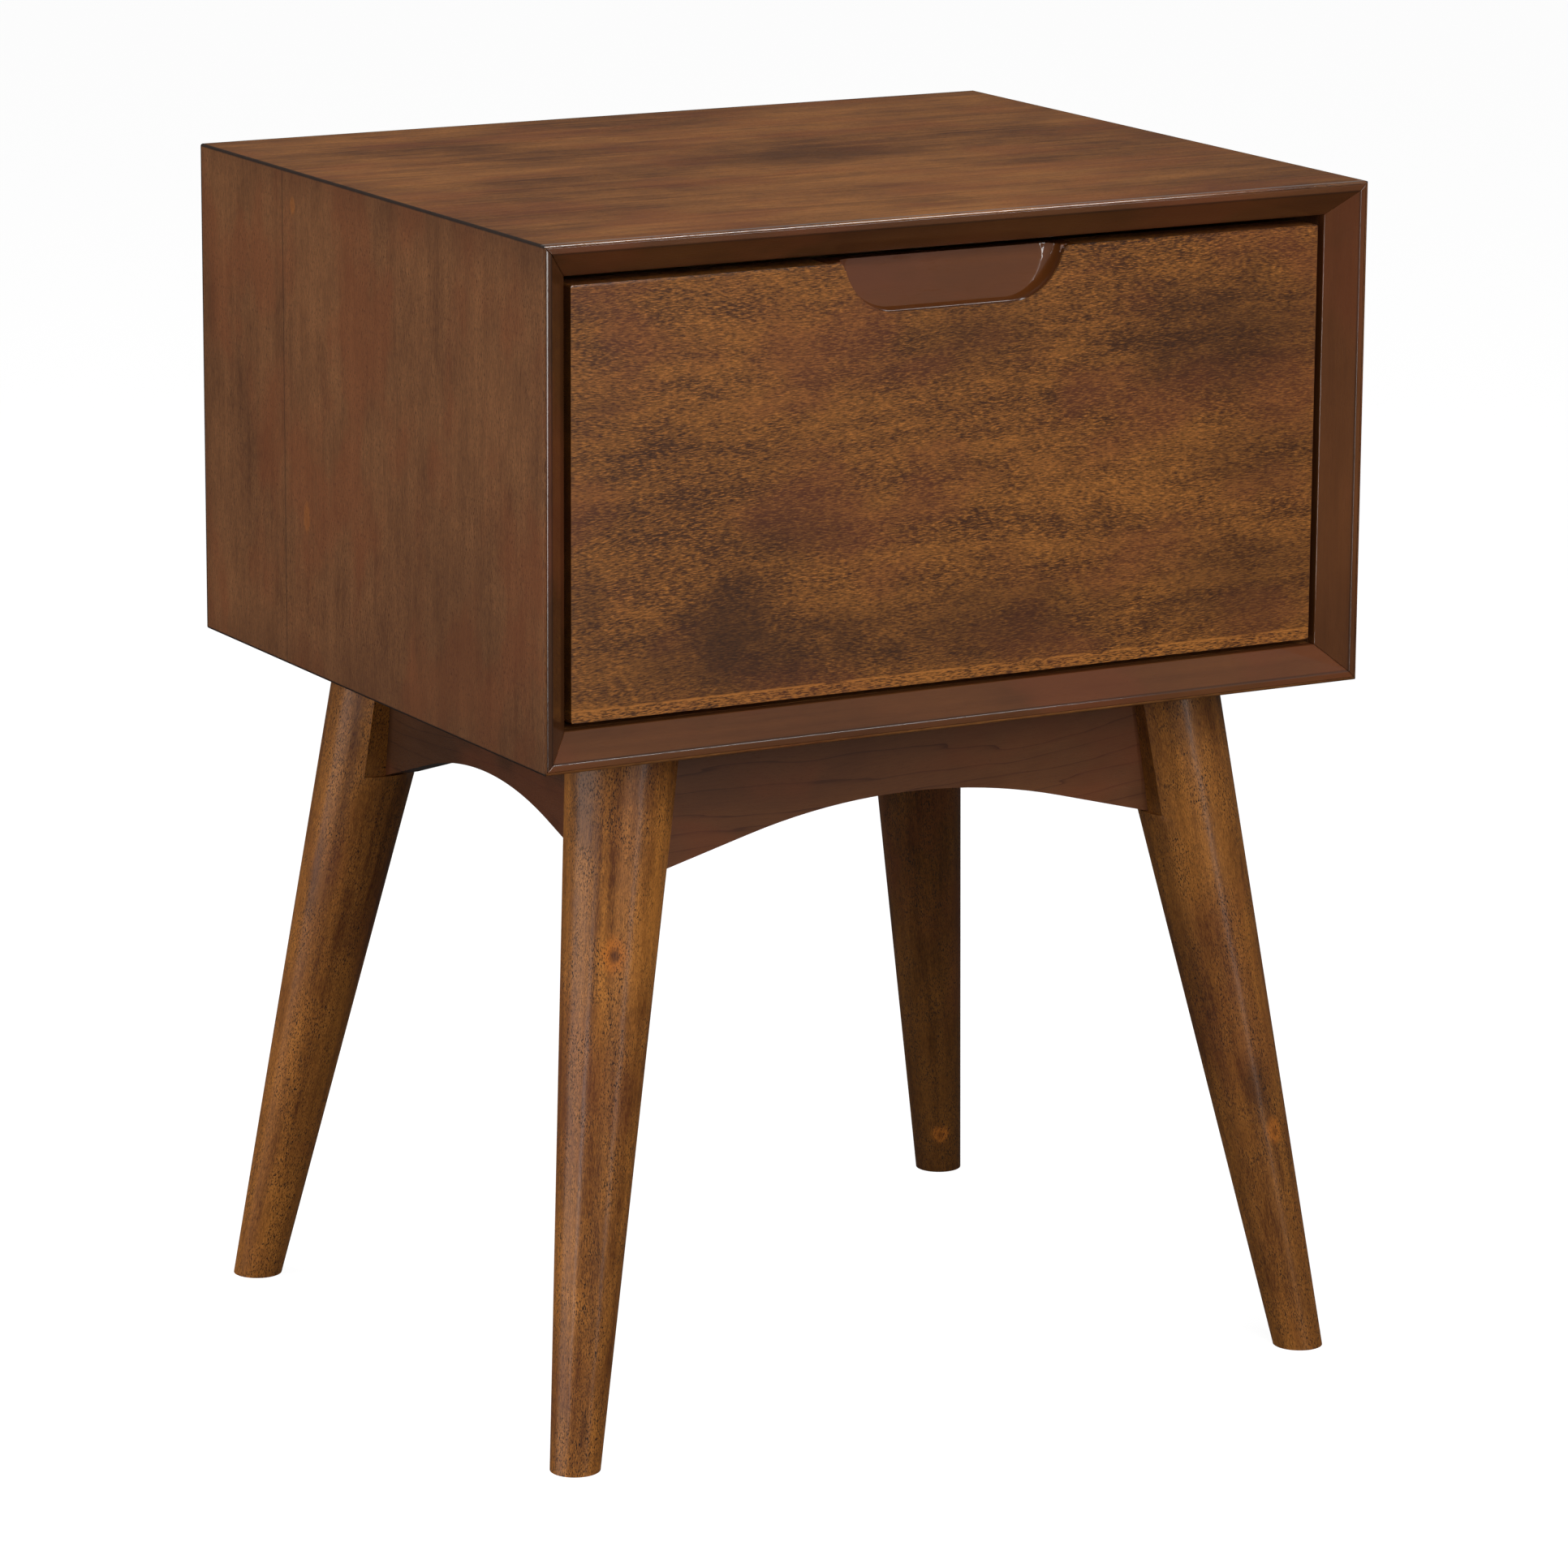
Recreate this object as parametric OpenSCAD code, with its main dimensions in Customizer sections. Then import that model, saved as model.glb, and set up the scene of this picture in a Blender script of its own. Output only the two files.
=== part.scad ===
// Bedside table: a mitred cabinet with one drawer, on a base of four splayed turned legs.
// The front faces -Y. The origin is on the floor under the middle of the table.

/* [Cabinet] */
// Width of the cabinet
body_w = 500; // [420:1:640]
// Depth of the cabinet
body_d = 415; // [400:1:500]
// Height of the cabinet
body_h = 275; // [240:1:360]
// Thickness of the cabinet boards
board_t = 19; // [16:0.5:24]
// Thickness of the face skin that laps over the front trim
skin_t = 1.6; // [1.5:0.1:2.5]
// Rounding of the cabinet's outer edges
arris_r = 1.4; // [0.8:0.1:1.4]
// Depth of the solid front trim
trim_d = 20; // [20:1:30]
// Width of the flat rim on the front trim
rim_w = 5; // [3:0.5:8]
// Width of the spline in each mitre
spline_w = 14; // [8:1:16]
// Thickness of the spline in each mitre
spline_t = 3; // [2:0.5:4]
// Distance from the outer corner to the middle of a spline, along the mitre
spline_place = 16; // [13:0.5:18]
// Distance from the front trim, or from the back panel's rebate, to a spline's end
spline_stop = 8; // [4:1:20]

/* [Back panel] */
// Thickness of the back panel
back_t = 5; // [3:0.5:8]
// Width of the rebate that the back panel sits in
back_lap = 10; // [9.5:0.5:11]
// Gap round the back panel in its rebate
back_gap = 0.5; // [0.2:0.1:1]

/* [Legs] */
// Height of the cabinet's underside above the floor
leg_h = 380; // [250:1:460]
// Leg diameter under the cabinet
leg_top_d = 61.4; // [50:0.2:66]
// Leg diameter at the floor
leg_foot_d = 27; // [22:0.5:40]
// Outward lean of the legs, to the side and to the front alike
splay = 9.1; // [4:0.1:9.5]
// Middle of a foot, inwards from the cabinet's side
foot_inset_x = 22; // [20:1:60]
// Middle of a foot, inwards from the cabinet's front or back
foot_inset_y = 9; // [8:1:40]
// Depth of the flats that the aprons butt against, at the top of a leg
flat_cut = 6.4; // [5.5:0.1:8]

/* [Aprons] */
// Apron height at its ends
apron_h = 76; // [68:1:90]
// Apron height in the middle of the arch
apron_mid_h = 48; // [44:1:56]
// Thickness of the aprons
apron_t = 20; // [18:0.5:24]
// Gap between the inner face of a front or back apron and the lower ends of the side aprons
front_apron_gap = 2.4; // [1:0.1:4]
// Gap between the inner face of a side apron and the lower ends of the front and back aprons
side_apron_gap = 4.4; // [1:0.1:5]
// Radius of the front and back arches
front_arch_r = 377; // [300:1:450]
// Radius of the side arches
side_arch_r = 240; // [200:1:280]

/* [Base fixings] */
// Diameter of the apron dowels
dowel_d = 8; // [6:1:8]
// Length of a dowel inside its apron
dowel_in_apron = 16; // [12:1:16]
// Distance between a leg's axis and the tips of its dowels
dowel_stop = 8.6; // [8.5:0.1:12]
// Depth of the upper dowels below the cabinet
dowel_upper = 14; // [12:1:16]
// Depth of the lower dowels of the front and back aprons
dowel_lower_front = 46; // [44:1:48]
// Depth of the lower dowels of the side aprons
dowel_lower_side = 58; // [57:1:60]
// Height of the corner blocks
block_h = 38; // [36:1:42]
// Thickness of the corner blocks, along the hanger bolt
block_t = 22; // [18:1:26]
// Gap between a leg and its corner block
block_gap = 3; // [2:0.5:5]
// Depth of the hanger bolts below the cabinet
bolt_drop = 30; // [28:1:32]
// Diameter of the hanger bolts
bolt_d = 8; // [6:1:8]
// Length of a hanger bolt inside the leg
bolt_in_leg = 36; // [28:1:40]
// Length of a hanger bolt that stands out of the corner block
bolt_out = 14; // [12:1:18]
// Diameter of the bolt washers
washer_d = 20; // [16:1:22]
// Thickness of the bolt washers
washer_t = 1.6; // [1:0.1:2]
// Width of the bolt nuts across flats
nut_w = 13; // [10:0.5:14]
// Thickness of the bolt nuts
nut_t = 6.5; // [5:0.5:8]
// Length of the screws that hold the base to the cabinet
base_screw_l = 50; // [44:1:54]
// Distance of those screws from the hanger bolt, along the corner block
base_screw_place = 20; // [16:1:22]
// Length of the screws that hold a corner block to its aprons
block_screw_l = 22; // [16:1:24]
// Depth of the pocket that sinks a block screw's head, from the apron's inner face
block_pocket = 8; // [7:0.5:9]
// Distance of a block screw from the edge of the corner block's inner face
block_screw_place = 13; // [12:0.5:14]

/* [Drawer front] */
// Thickness of the drawer front
front_t = 20; // [18:0.5:24]
// Gap between the drawer front and the cabinet's sides
front_gap_side = 4; // [2:0.5:6]
// Gap above the drawer front
front_gap_top = 5; // [2:0.5:8]
// Gap below the drawer front
front_gap_bottom = 3.5; // [2:0.5:6]
// Rounding of the drawer front's four corners
front_corner_r = 1.5; // [0.5:0.5:4]
// Thickness of the face skin over the pull insert
face_t = 1.2; // [0.8:0.1:2]

/* [Finger pull] */
// Width of the finger pull
pull_w = 134; // [90:1:160]
// Height of the finger pull
pull_h = 28; // [20:1:40]
// Radius of the finger pull's lower corners
pull_r = 32; // [30:1:40]
// Depth of the finger pull at the drawer's top edge
pull_d = 12.5; // [9:0.5:14]
// Depth of the finger pull at its foot
pull_foot_d = 8.5; // [4:0.5:9]
// Radius of the cove at the foot of the pull's wall
pull_cove_r = 9; // [5:0.5:9]
// Rounding where the pull meets the drawer's top edge
pull_flare_r = 4; // [2:0.5:6]
// Wood round the pull in its insert
insert_margin = 9; // [7:1:14]

/* [Drawer box] */
// Length of the drawer box
box_l = 350; // [300:1:360]
// Height of the drawer box
box_h = 180; // [150:1:190]
// Thickness of the drawer box's sides, back and inner front
box_t = 12; // [11:0.5:16]
// Distance from the cabinet's floor to the drawer box
box_lift = 12; // [6:1:16]
// Thickness of the drawer bottom
bottom_t = 5; // [3:0.5:8]
// Distance from the box's lower edge to the drawer bottom
bottom_rise = 10; // [8:1:14]
// Depth of the grooves that hold the drawer bottom
groove_d = 6; // [4:0.5:6]
// Diameter of the drawer box's dowels
box_dowel_d = 6; // [5:1:6]
// Length of the drawer box's dowels
box_dowel_l = 28; // [20:1:30]
// Distance of those dowels from the box's upper and lower edges
box_dowel_place = 40; // [30:1:60]
// Depth of those dowels in the box's sides
box_dowel_in_side = 8; // [6:1:9]

/* [Drawer slides] */
// Length of the slides
slide_l = 350; // [300:1:360]
// Thickness of a closed slide
slide_t = 12.7; // [12.7:0.1:13.5]
// Height of the cabinet rail
slide_h = 45; // [45:1:50]
// Thickness of the rail steel
steel_t = 1.2; // [1:0.1:1.2]
// Middle of the slides above the box's lower edge
slide_rise = 80; // [50:1:110]
// Diameter of the balls between the cabinet rail and the middle rail
outer_ball_d = 4.1; // [3.8:0.1:4.1]
// Diameter of the balls between the middle rail and the drawer rail
inner_ball_d = 4.4; // [4:0.1:4.4]
// Clearance between a ball and the rail above or below it
ball_gap = 0.1; // [0.05:0.01:0.15]
// Thickness of the ball cages
cage_t = 0.7; // [0.5:0.1:0.8]
// Length of the ball cages
cage_l = 150; // [100:1:160]
// Balls in one row of a cage
cage_balls = 6; // [4:1:6]

/* [Screws] */
// Diameter of the wood screws
screw_d = 4; // [3:0.5:4]
// Head diameter of the wood screws
screw_head_d = 7.6; // [6:0.2:8]
// Head height of the wood screws
screw_head_h = 2.2; // [1.8:0.1:2.6]
// Width of the square socket in a screw's head, across corners
socket_w = 3.2; // [2:0.1:3.4]
// Depth of that socket
socket_h = 1.4; // [1:0.1:1.6]
// Length of the slide screws
slide_screw_l = 11; // [9:1:11]
// Length of the back panel screws
back_screw_l = 18; // [14:1:22]
// Distance from the cabinet's corners to the nearest back panel screws
back_screw_place = 60; // [40:1:80]
// Distance from a rail's ends to its first and last screws
slide_screw_place = 22; // [16:1:60]
// Length of the drawer front screws
front_screw_l = 25; // [20:1:27]
// Distance of the drawer front screws from the box's sides
front_screw_place = 60; // [45:1:90]
// Height of the lower drawer front screws above the box's lower edge
front_screw_low = 32; // [24:1:50]
// Height of the upper drawer front screws above the box's lower edge
front_screw_high = 140; // [100:1:150]

/* [Hidden] */
$fn = 64;

// Finishes
veneer = [0.40, 0.26, 0.16];
solid_wood = [0.33, 0.20, 0.12];
leg_wood = [0.45, 0.29, 0.15];
apron_wood = [0.30, 0.16, 0.10];
box_wood = [0.78, 0.66, 0.48];
beech = [0.82, 0.70, 0.52];
zinc = [0.72, 0.73, 0.75];

// Cabinet
front_y = -body_d / 2;
back_y = body_d / 2;
mid_z = leg_h + body_h / 2;
bevel_d = board_t - rim_w;
inner_w = body_w - 2 * board_t;
floor_z = leg_h + board_t;
ceiling_z = leg_h + body_h - board_t;
far = 1000;

// Legs: a leg's axis leans inwards by splay both ways as it rises
tilt_x = -atan(tan(splay) * cos(splay));
tilt_y = splay;
leg_l = leg_h / (cos(tilt_x) * cos(tilt_y));
leg_slope = (leg_top_d - leg_foot_d) / 2 / leg_l;
leg_overrun = 15;
leg_flat = leg_top_d / 2 - flat_cut;
lean = leg_h * tan(splay);
foot_x = body_w / 2 - foot_inset_x;
foot_y = body_d / 2 - foot_inset_y;
leg_top_x = foot_x - lean;
leg_top_y = foot_y - lean;
apron_z = leg_h - apron_h;

// Aprons: their lower ends reach furthest out, because the leg's flats lean with the leg
flat_reach = leg_flat / cos(splay);
end_reach = flat_reach - apron_h * tan(splay);
front_apron_y = leg_top_y + apron_t + front_apron_gap - end_reach;
side_apron_x = leg_top_x + apron_t + side_apron_gap - end_reach;
dowel_l = dowel_in_apron + flat_reach - dowel_stop;

// Corner blocks: distances along the diagonal are measured inwards from the cabinet's corner line
block_start = leg_top_x + leg_top_y - sqrt(2) * (leg_top_d / 2 + block_gap);
block_end = block_start - sqrt(2) * block_t;
block_x = side_apron_x - apron_t;
block_y = front_apron_y - apron_t;
bolt_axis_x = leg_top_x + bolt_drop * tan(splay);
bolt_axis_y = leg_top_y + bolt_drop * tan(splay);
bolt_far = (bolt_axis_x + bolt_axis_y - block_end) / sqrt(2);
bolt_tip = leg_top_d / 2 - bolt_in_leg - leg_slope * bolt_drop;

// Drawer
face_y = front_y + bevel_d;
front_w = inner_w - 2 * front_gap_side;
front_z = floor_z + front_gap_bottom;
front_top = ceiling_z - front_gap_top;
front_h = front_top - front_z;
box_w = inner_w - 2 * slide_t;
box_y = face_y + front_t;
box_z = floor_z + box_lift;
insert_w = pull_w + 2 * insert_margin;
insert_h = pull_h + insert_margin;
front_screw_x = box_w / 2 - front_screw_place;
front_screw_rise = [front_screw_low, front_screw_high];
box_dowel_rise = [box_dowel_place, box_h - box_dowel_place];

// Rail and cage sections: sizes across the slide, fixed by the slide's make
slide_set_back = 1;
rail_lip_t = 1.5;
cabinet_flange_gap = 1.7;
middle_web_gap = 8.3;
middle_flange_gap = 1.5;
drawer_flange_w = 5.1;
outer_cage_gap = 1;
outer_cage_short = 1.8;
outer_ball_in = 2.7;
inner_cage_gap = 0.6;
inner_cage_short = 0.2;
inner_ball_in = 2.2;

// Slides: sizes across the slide are measured from the cabinet's side
slide_z = box_z + slide_rise;
slide_y = box_y + slide_set_back;
outer_web = steel_t;
outer_flange = slide_t - cabinet_flange_gap;
outer_in = slide_h / 2 - steel_t;
mid_out = outer_in - outer_ball_d - 2 * ball_gap;
mid_web = slide_t - middle_web_gap;
mid_flange = slide_t - middle_flange_gap;
mid_in = mid_out - steel_t;
drawer_out = mid_in - inner_ball_d - 2 * ball_gap;
drawer_tip = slide_t - drawer_flange_w;
outer_row = (outer_in + mid_out) / 2;
inner_row = (mid_in + drawer_out) / 2;
outer_cage_web = outer_web + outer_cage_gap;
outer_cage_tip = outer_flange - outer_cage_short;
outer_ball_x = outer_cage_tip - outer_ball_in;
inner_cage_web = mid_web + steel_t + inner_cage_gap;
inner_cage_tip = mid_flange - inner_cage_short;
inner_ball_x = inner_cage_tip - inner_ball_in;
cage_y = slide_y + (slide_l - cage_l) / 2;
slide_screw_y = [slide_screw_place, slide_l / 2, slide_l - slide_screw_place];

// Shows its children at each corner; the children are drawn for the front left corner
module at_corner(right = false, back = false) {
    mirror([right ? 1 : 0, 0, 0]) mirror([0, back ? 1 : 0, 0]) children();
}

module at_each_corner() {
    for (right = [false, true], back = [false, true]) at_corner(right, back) children();
}

module both_sides() {
    children();
    mirror([1, 0, 0]) children();
}

// A countersunk screw with its head's top on z = 0, pointing down
module screw_body(l) {
    translate([0, 0, -screw_head_h]) cylinder(h = screw_head_h, d1 = screw_d, d2 = screw_head_d);
    translate([0, 0, -l]) cylinder(h = l - screw_head_h, d = screw_d);
}

module screw(l) {
    difference() {
        screw_body(l);
        translate([0, 0, -socket_h]) cylinder(h = 2 * socket_h, d = socket_w, $fn = 4);
    }
}

// ---- Cabinet ----

// Turns its children, drawn as the top board's, to the board on that side of the cabinet
module on_side(turn) {
    translate([0, 0, mid_z]) rotate([0, turn, 0]) children();
}

// Outline of a mitred board, seen from the front: run is its length, dist its outer face from the middle
module mitre_outline(run, dist, inset = 0) {
    polygon([
        [-run / 2 + inset, dist - inset], [run / 2 - inset, dist - inset],
        [run / 2 - board_t, dist - board_t], [-run / 2 + board_t, dist - board_t]
    ]);
}

module rounded_rect(w, h, r) {
    square([w - 2 * r, h], center = true);
    square([w, h - 2 * r], center = true);
    for (x = [-1, 1], y = [-1, 1]) translate([x * (w / 2 - r), y * (h / 2 - r)]) circle(r = r);
}

// Cross-section of a board: x is the distance back from the front, y the depth below the outer face
module board_section() {
    difference() {
        union() {
            translate([arris_r, 0]) square([body_d - arris_r, board_t]);
            translate([0, arris_r]) square([body_d, board_t - arris_r]);
            translate([arris_r, arris_r]) circle(r = arris_r);
        }
        translate([-1, skin_t]) square([trim_d + 1, board_t]);
        translate([body_d - back_t, board_t - back_lap]) square([back_t + 1, back_lap + 1]);
    }
}

// Stretches a section drawn as board_section is along a board of length run
module along_board(run, dist) {
    translate([-run / 2, front_y, dist]) rotate([90, 0, 90]) linear_extrude(run)
        mirror([0, 1]) children();
}

module board(run, dist) {
    intersection() {
        translate([0, back_y, 0]) rotate([90, 0, 0]) linear_extrude(body_d) intersection() {
            mitre_outline(run, dist);
            rounded_rect(run, 2 * dist, arris_r);
        }
        along_board(run, dist) board_section();
    }
}

module trim(run, dist) {
    intersection() {
        translate([0, front_y + trim_d, 0]) rotate([90, 0, 0]) linear_extrude(trim_d)
            mitre_outline(run, dist, skin_t);
        along_board(run, dist) polygon([
            [0, skin_t], [0, rim_w], [bevel_d, board_t], [trim_d, board_t], [trim_d, skin_t]
        ]);
    }
}

module splines() {
    stop = trim_d + spline_stop;
    reach = spline_place / sqrt(2);
    for (x = [-1, 1], z = [-1, 1])
        translate([x * (body_w / 2 - reach), front_y + stop, mid_z + z * (body_h / 2 - reach)])
            rotate([0, x * z * 45, 0]) translate([-spline_w / 2, 0, -spline_t / 2])
                cube([spline_w, body_d - back_t - 2 * stop, spline_t]);
}

module at_back_screws() {
    ledge = board_t - back_lap / 2;
    x_end = body_w / 2 - ledge;
    z_end = body_h / 2 - ledge;
    x_place = body_w / 2 - back_screw_place;
    z_place = body_h / 2 - back_screw_place;
    for (x = [-x_place, 0, x_place], z = [-z_end, z_end]) translate([x, back_y, mid_z + z])
        rotate([-90, 0, 0]) children();
    for (x = [-x_end, x_end], z = [-z_place, z_place]) translate([x, back_y, mid_z + z])
        rotate([-90, 0, 0]) children();
}

module top_panel() {
    color(veneer) difference() {
        on_side(0) board(body_w, body_h / 2);
        splines();
        at_back_screws() screw_body(back_screw_l);
    }
}

module bottom_panel() {
    color(veneer) difference() {
        on_side(180) board(body_w, body_h / 2);
        splines();
        at_back_screws() screw_body(back_screw_l);
        at_base_screws() screw_body(base_screw_l);
    }
}

module side_panel(turn) {
    difference() {
        on_side(turn) board(body_h, body_w / 2);
        splines();
        at_back_screws() screw_body(back_screw_l);
        both_sides() at_cabinet_rail_screws() screw_body(slide_screw_l);
    }
}

module left_panel() {
    color(veneer) side_panel(-90);
}

module right_panel() {
    color(veneer) side_panel(90);
}

module back_panel() {
    inset = board_t - back_lap + back_gap;
    color(box_wood) difference() {
        translate([-body_w / 2 + inset, back_y - back_t, leg_h + inset])
            cube([body_w - 2 * inset, back_t, body_h - 2 * inset]);
        at_back_screws() screw_body(back_screw_l);
    }
}

module top_trim() {
    color(solid_wood) on_side(0) trim(body_w, body_h / 2);
}

module bottom_trim() {
    color(solid_wood) on_side(180) trim(body_w, body_h / 2);
}

module left_trim() {
    color(solid_wood) on_side(-90) trim(body_h, body_w / 2);
}

module right_trim() {
    color(solid_wood) on_side(90) trim(body_h, body_w / 2);
}

module mitre_splines() {
    color(beech) splines();
}

module back_screws() {
    color(zinc) at_back_screws() screw(back_screw_l);
}

// ---- Base, drawn for the front left corner ----

module leg_frame() {
    translate([-foot_x, -foot_y, 0]) rotate([tilt_x, tilt_y, 0]) children();
}

module leg_cone() {
    leg_frame() translate([0, 0, -leg_overrun]) cylinder(
        h = leg_l + 2 * leg_overrun,
        r1 = leg_foot_d / 2 - leg_slope * leg_overrun,
        r2 = leg_top_d / 2 + leg_slope * leg_overrun
    );
}

// The space inwards of a leg's two flats: along = 0 towards the cabinet's middle, 1 towards its back
module beyond_flat(along) {
    leg_frame() rotate([0, 0, along * 90]) translate([leg_flat, -far / 2, 0])
        cube([far, far, 2 * leg_h]);
}

module leg_side_of_flat(along) {
    leg_frame() rotate([0, 0, along * 90]) translate([leg_flat - far, -far / 2, 0])
        cube([far, far, 2 * leg_h]);
}

// Where a flat lies at a depth below the cabinet, along x or along y
function flat_x(drop) = -foot_x + (leg_h - drop) * tan(splay) + flat_reach;
function flat_y(drop) = -foot_y + (leg_h - drop) * tan(splay) + flat_reach;

module corner_dowels() {
    for (drop = [dowel_upper, dowel_lower_front])
        translate([flat_x(drop) + dowel_in_apron - dowel_l, -front_apron_y + apron_t / 2, leg_h - drop])
            rotate([0, 90, 0]) cylinder(h = dowel_l, d = dowel_d);
    for (drop = [dowel_upper, dowel_lower_side])
        translate([-side_apron_x + apron_t / 2, flat_y(drop) + dowel_in_apron - dowel_l, leg_h - drop])
            rotate([-90, 0, 0]) cylinder(h = dowel_l, d = dowel_d);
}

// Stands its children on the hanger bolt's axis, with z inwards from the leg's axis
module on_bolt() {
    translate([-bolt_axis_x, -bolt_axis_y, leg_h - bolt_drop]) rotate([0, 90, 45]) children();
}

module corner_bolt() {
    on_bolt() translate([0, 0, bolt_tip]) cylinder(h = bolt_far + bolt_out - bolt_tip, d = bolt_d);
}

module leg() {
    difference() {
        intersection() {
            leg_cone();
            translate([-far / 2, -far / 2, 0]) cube([far, far, leg_h]);
        }
        for (along = [0, 1]) intersection() {
            beyond_flat(along);
            translate([-far / 2, -far / 2, apron_z]) cube([far, far, 2 * apron_h]);
        }
        corner_dowels();
        corner_bolt();
    }
}

module front_left_leg() {
    color(leg_wood) at_corner() leg();
}

module front_right_leg() {
    color(leg_wood) at_corner(right = true) leg();
}

module back_left_leg() {
    color(leg_wood) at_corner(back = true) leg();
}

module back_right_leg() {
    color(leg_wood) at_corner(right = true, back = true) leg();
}

// What an arch cuts away under an apron: half is the apron's half length at the bottom.
// The arch is an arc in the middle and runs straight to each end, or is all arc on a short apron.
module arch_outline(half, wanted_r) {
    rise = apron_h - apron_mid_h;
    r = min(wanted_r, (half * half + rise * rise) / (2 * rise) - 1);
    hub = -apron_mid_h - r;
    end_angle = atan(half / (-apron_h - hub));
    reach = norm([half, -apron_h - hub]);
    turn = end_angle - acos(r / reach);
    arc_x = r * sin(turn);
    arc_z = hub + r * cos(turn);
    intersection() {
        translate([0, hub]) circle(r = r, $fn = 180);
        translate([-half, -2 * apron_h]) square([2 * half, 2 * apron_h]);
    }
    for (side = [0, 1]) mirror([side, 0]) polygon([
        [arc_x, arc_z], [half, -apron_h], [half, -2 * apron_h], [arc_x, -2 * apron_h]
    ]);
}

module front_apron_solid() {
    half = -flat_x(apron_h);
    difference() {
        translate([-leg_top_x, -front_apron_y, apron_z]) cube([2 * leg_top_x, apron_t, apron_h]);
        both_sides() leg_side_of_flat(0);
        translate([0, apron_t - front_apron_y + 1, leg_h]) rotate([90, 0, 0])
            linear_extrude(apron_t + 2) arch_outline(half, front_arch_r);
        both_sides() corner_dowels();
        both_sides() corner_block_screws() screw_body(block_screw_l);
    }
}

module front_apron() {
    color(apron_wood) front_apron_solid();
}

module back_apron() {
    color(apron_wood) mirror([0, 1, 0]) front_apron_solid();
}

module left_apron_solid() {
    half = -flat_y(apron_h);
    difference() {
        translate([-side_apron_x, -leg_top_y, apron_z]) cube([apron_t, 2 * leg_top_y, apron_h]);
        for (back = [false, true]) at_corner(back = back) leg_side_of_flat(1);
        translate([-side_apron_x - 1, 0, leg_h]) rotate([90, 0, 90])
            linear_extrude(apron_t + 2) arch_outline(half, side_arch_r);
        for (back = [false, true]) at_corner(back = back) corner_dowels();
        for (back = [false, true]) at_corner(back = back) corner_block_screws() screw_body(block_screw_l);
    }
}

module left_apron() {
    color(apron_wood) left_apron_solid();
}

module right_apron() {
    color(apron_wood) mirror([1, 0, 0]) left_apron_solid();
}

module apron_dowels() {
    color(beech) at_each_corner() corner_dowels();
}

// Block screws go square into each apron, from a pocket in the block's inner face
module corner_block_screws() {
    z = leg_h - block_h / 2;
    inner_x = block_end - block_y + block_screw_place;
    inner_y = block_end - block_x + block_screw_place;
    translate([-inner_x, -block_y + block_pocket, z]) rotate([-90, 0, 0]) children();
    translate([-block_x + block_pocket, -inner_y, z]) rotate([0, 90, 0]) children();
}

module screw_pocket() {
    cylinder(h = 2 * block_t, d = screw_head_d);
}

// Base screws stand upright in each block, either side of the bolt
module at_corner_base_screws() {
    middle = (block_start + block_end) / 4;
    skew = (block_x - block_y) / 2;
    for (side = [-1, 1]) translate([
        -middle - skew + side * base_screw_place / sqrt(2),
        -middle + skew - side * base_screw_place / sqrt(2),
        leg_h - block_h
    ]) rotate([180, 0, 0]) children();
}

module at_base_screws() {
    at_each_corner() at_corner_base_screws() children();
}

module corner_block() {
    difference() {
        translate([0, 0, leg_h - block_h]) linear_extrude(block_h) polygon([
            [block_y - block_start, -block_y], [block_y - block_end, -block_y],
            [-block_x, block_x - block_end], [-block_x, block_x - block_start]
        ]);
        corner_bolt();
        corner_block_screws() screw_body(block_screw_l);
        corner_block_screws() screw_pocket();
        at_corner_base_screws() screw_body(base_screw_l);
    }
}

module front_left_block() {
    color(beech) at_corner() corner_block();
}

module front_right_block() {
    color(beech) at_corner(right = true) corner_block();
}

module back_left_block() {
    color(beech) at_corner(back = true) corner_block();
}

module back_right_block() {
    color(beech) at_corner(right = true, back = true) corner_block();
}

module hanger_bolts() {
    color(zinc) at_each_corner() corner_bolt();
}

module bolt_washers() {
    color(zinc) at_each_corner() on_bolt() translate([0, 0, bolt_far]) difference() {
        cylinder(h = washer_t, d = washer_d);
        translate([0, 0, -1]) cylinder(h = washer_t + 2, d = bolt_d);
    }
}

module bolt_nuts() {
    color(zinc) at_each_corner() on_bolt() translate([0, 0, bolt_far + washer_t]) difference() {
        cylinder(h = nut_t, d = nut_w / cos(30), $fn = 6);
        translate([0, 0, -1]) cylinder(h = nut_t + 2, d = bolt_d);
    }
}

module block_screws() {
    color(zinc) at_each_corner() corner_block_screws() screw(block_screw_l);
}

module base_screws() {
    color(zinc) at_base_screws() screw(base_screw_l);
}

// ---- Drawer ----

// Section of the pull: x out from its lower corner's centre, y the depth behind the face
module pull_section() {
    wall = pull_d - pull_cove_r;
    translate([0, -1]) square([pull_r, wall + 1]);
    square([pull_r - pull_cove_r, pull_d]);
    translate([pull_r - pull_cove_r, wall]) circle(r = pull_cove_r);
}

module half_pull_section() {
    intersection() {
        pull_section();
        translate([0, -1]) square([pull_r, pull_d + 1]);
    }
}

// Space in front of the pull's floor, which slopes back from its foot to the drawer's top edge
module before_pull_floor() {
    slope = (pull_d - pull_foot_d) / pull_h;
    rotate([90, 0, 90]) linear_extrude(2 * pull_w, center = true) polygon([
        [-2, -pull_h - 1], [pull_foot_d - slope, -pull_h - 1],
        [pull_d + slope * pull_r, pull_r], [-2, pull_r]
    ]);
}

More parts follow.
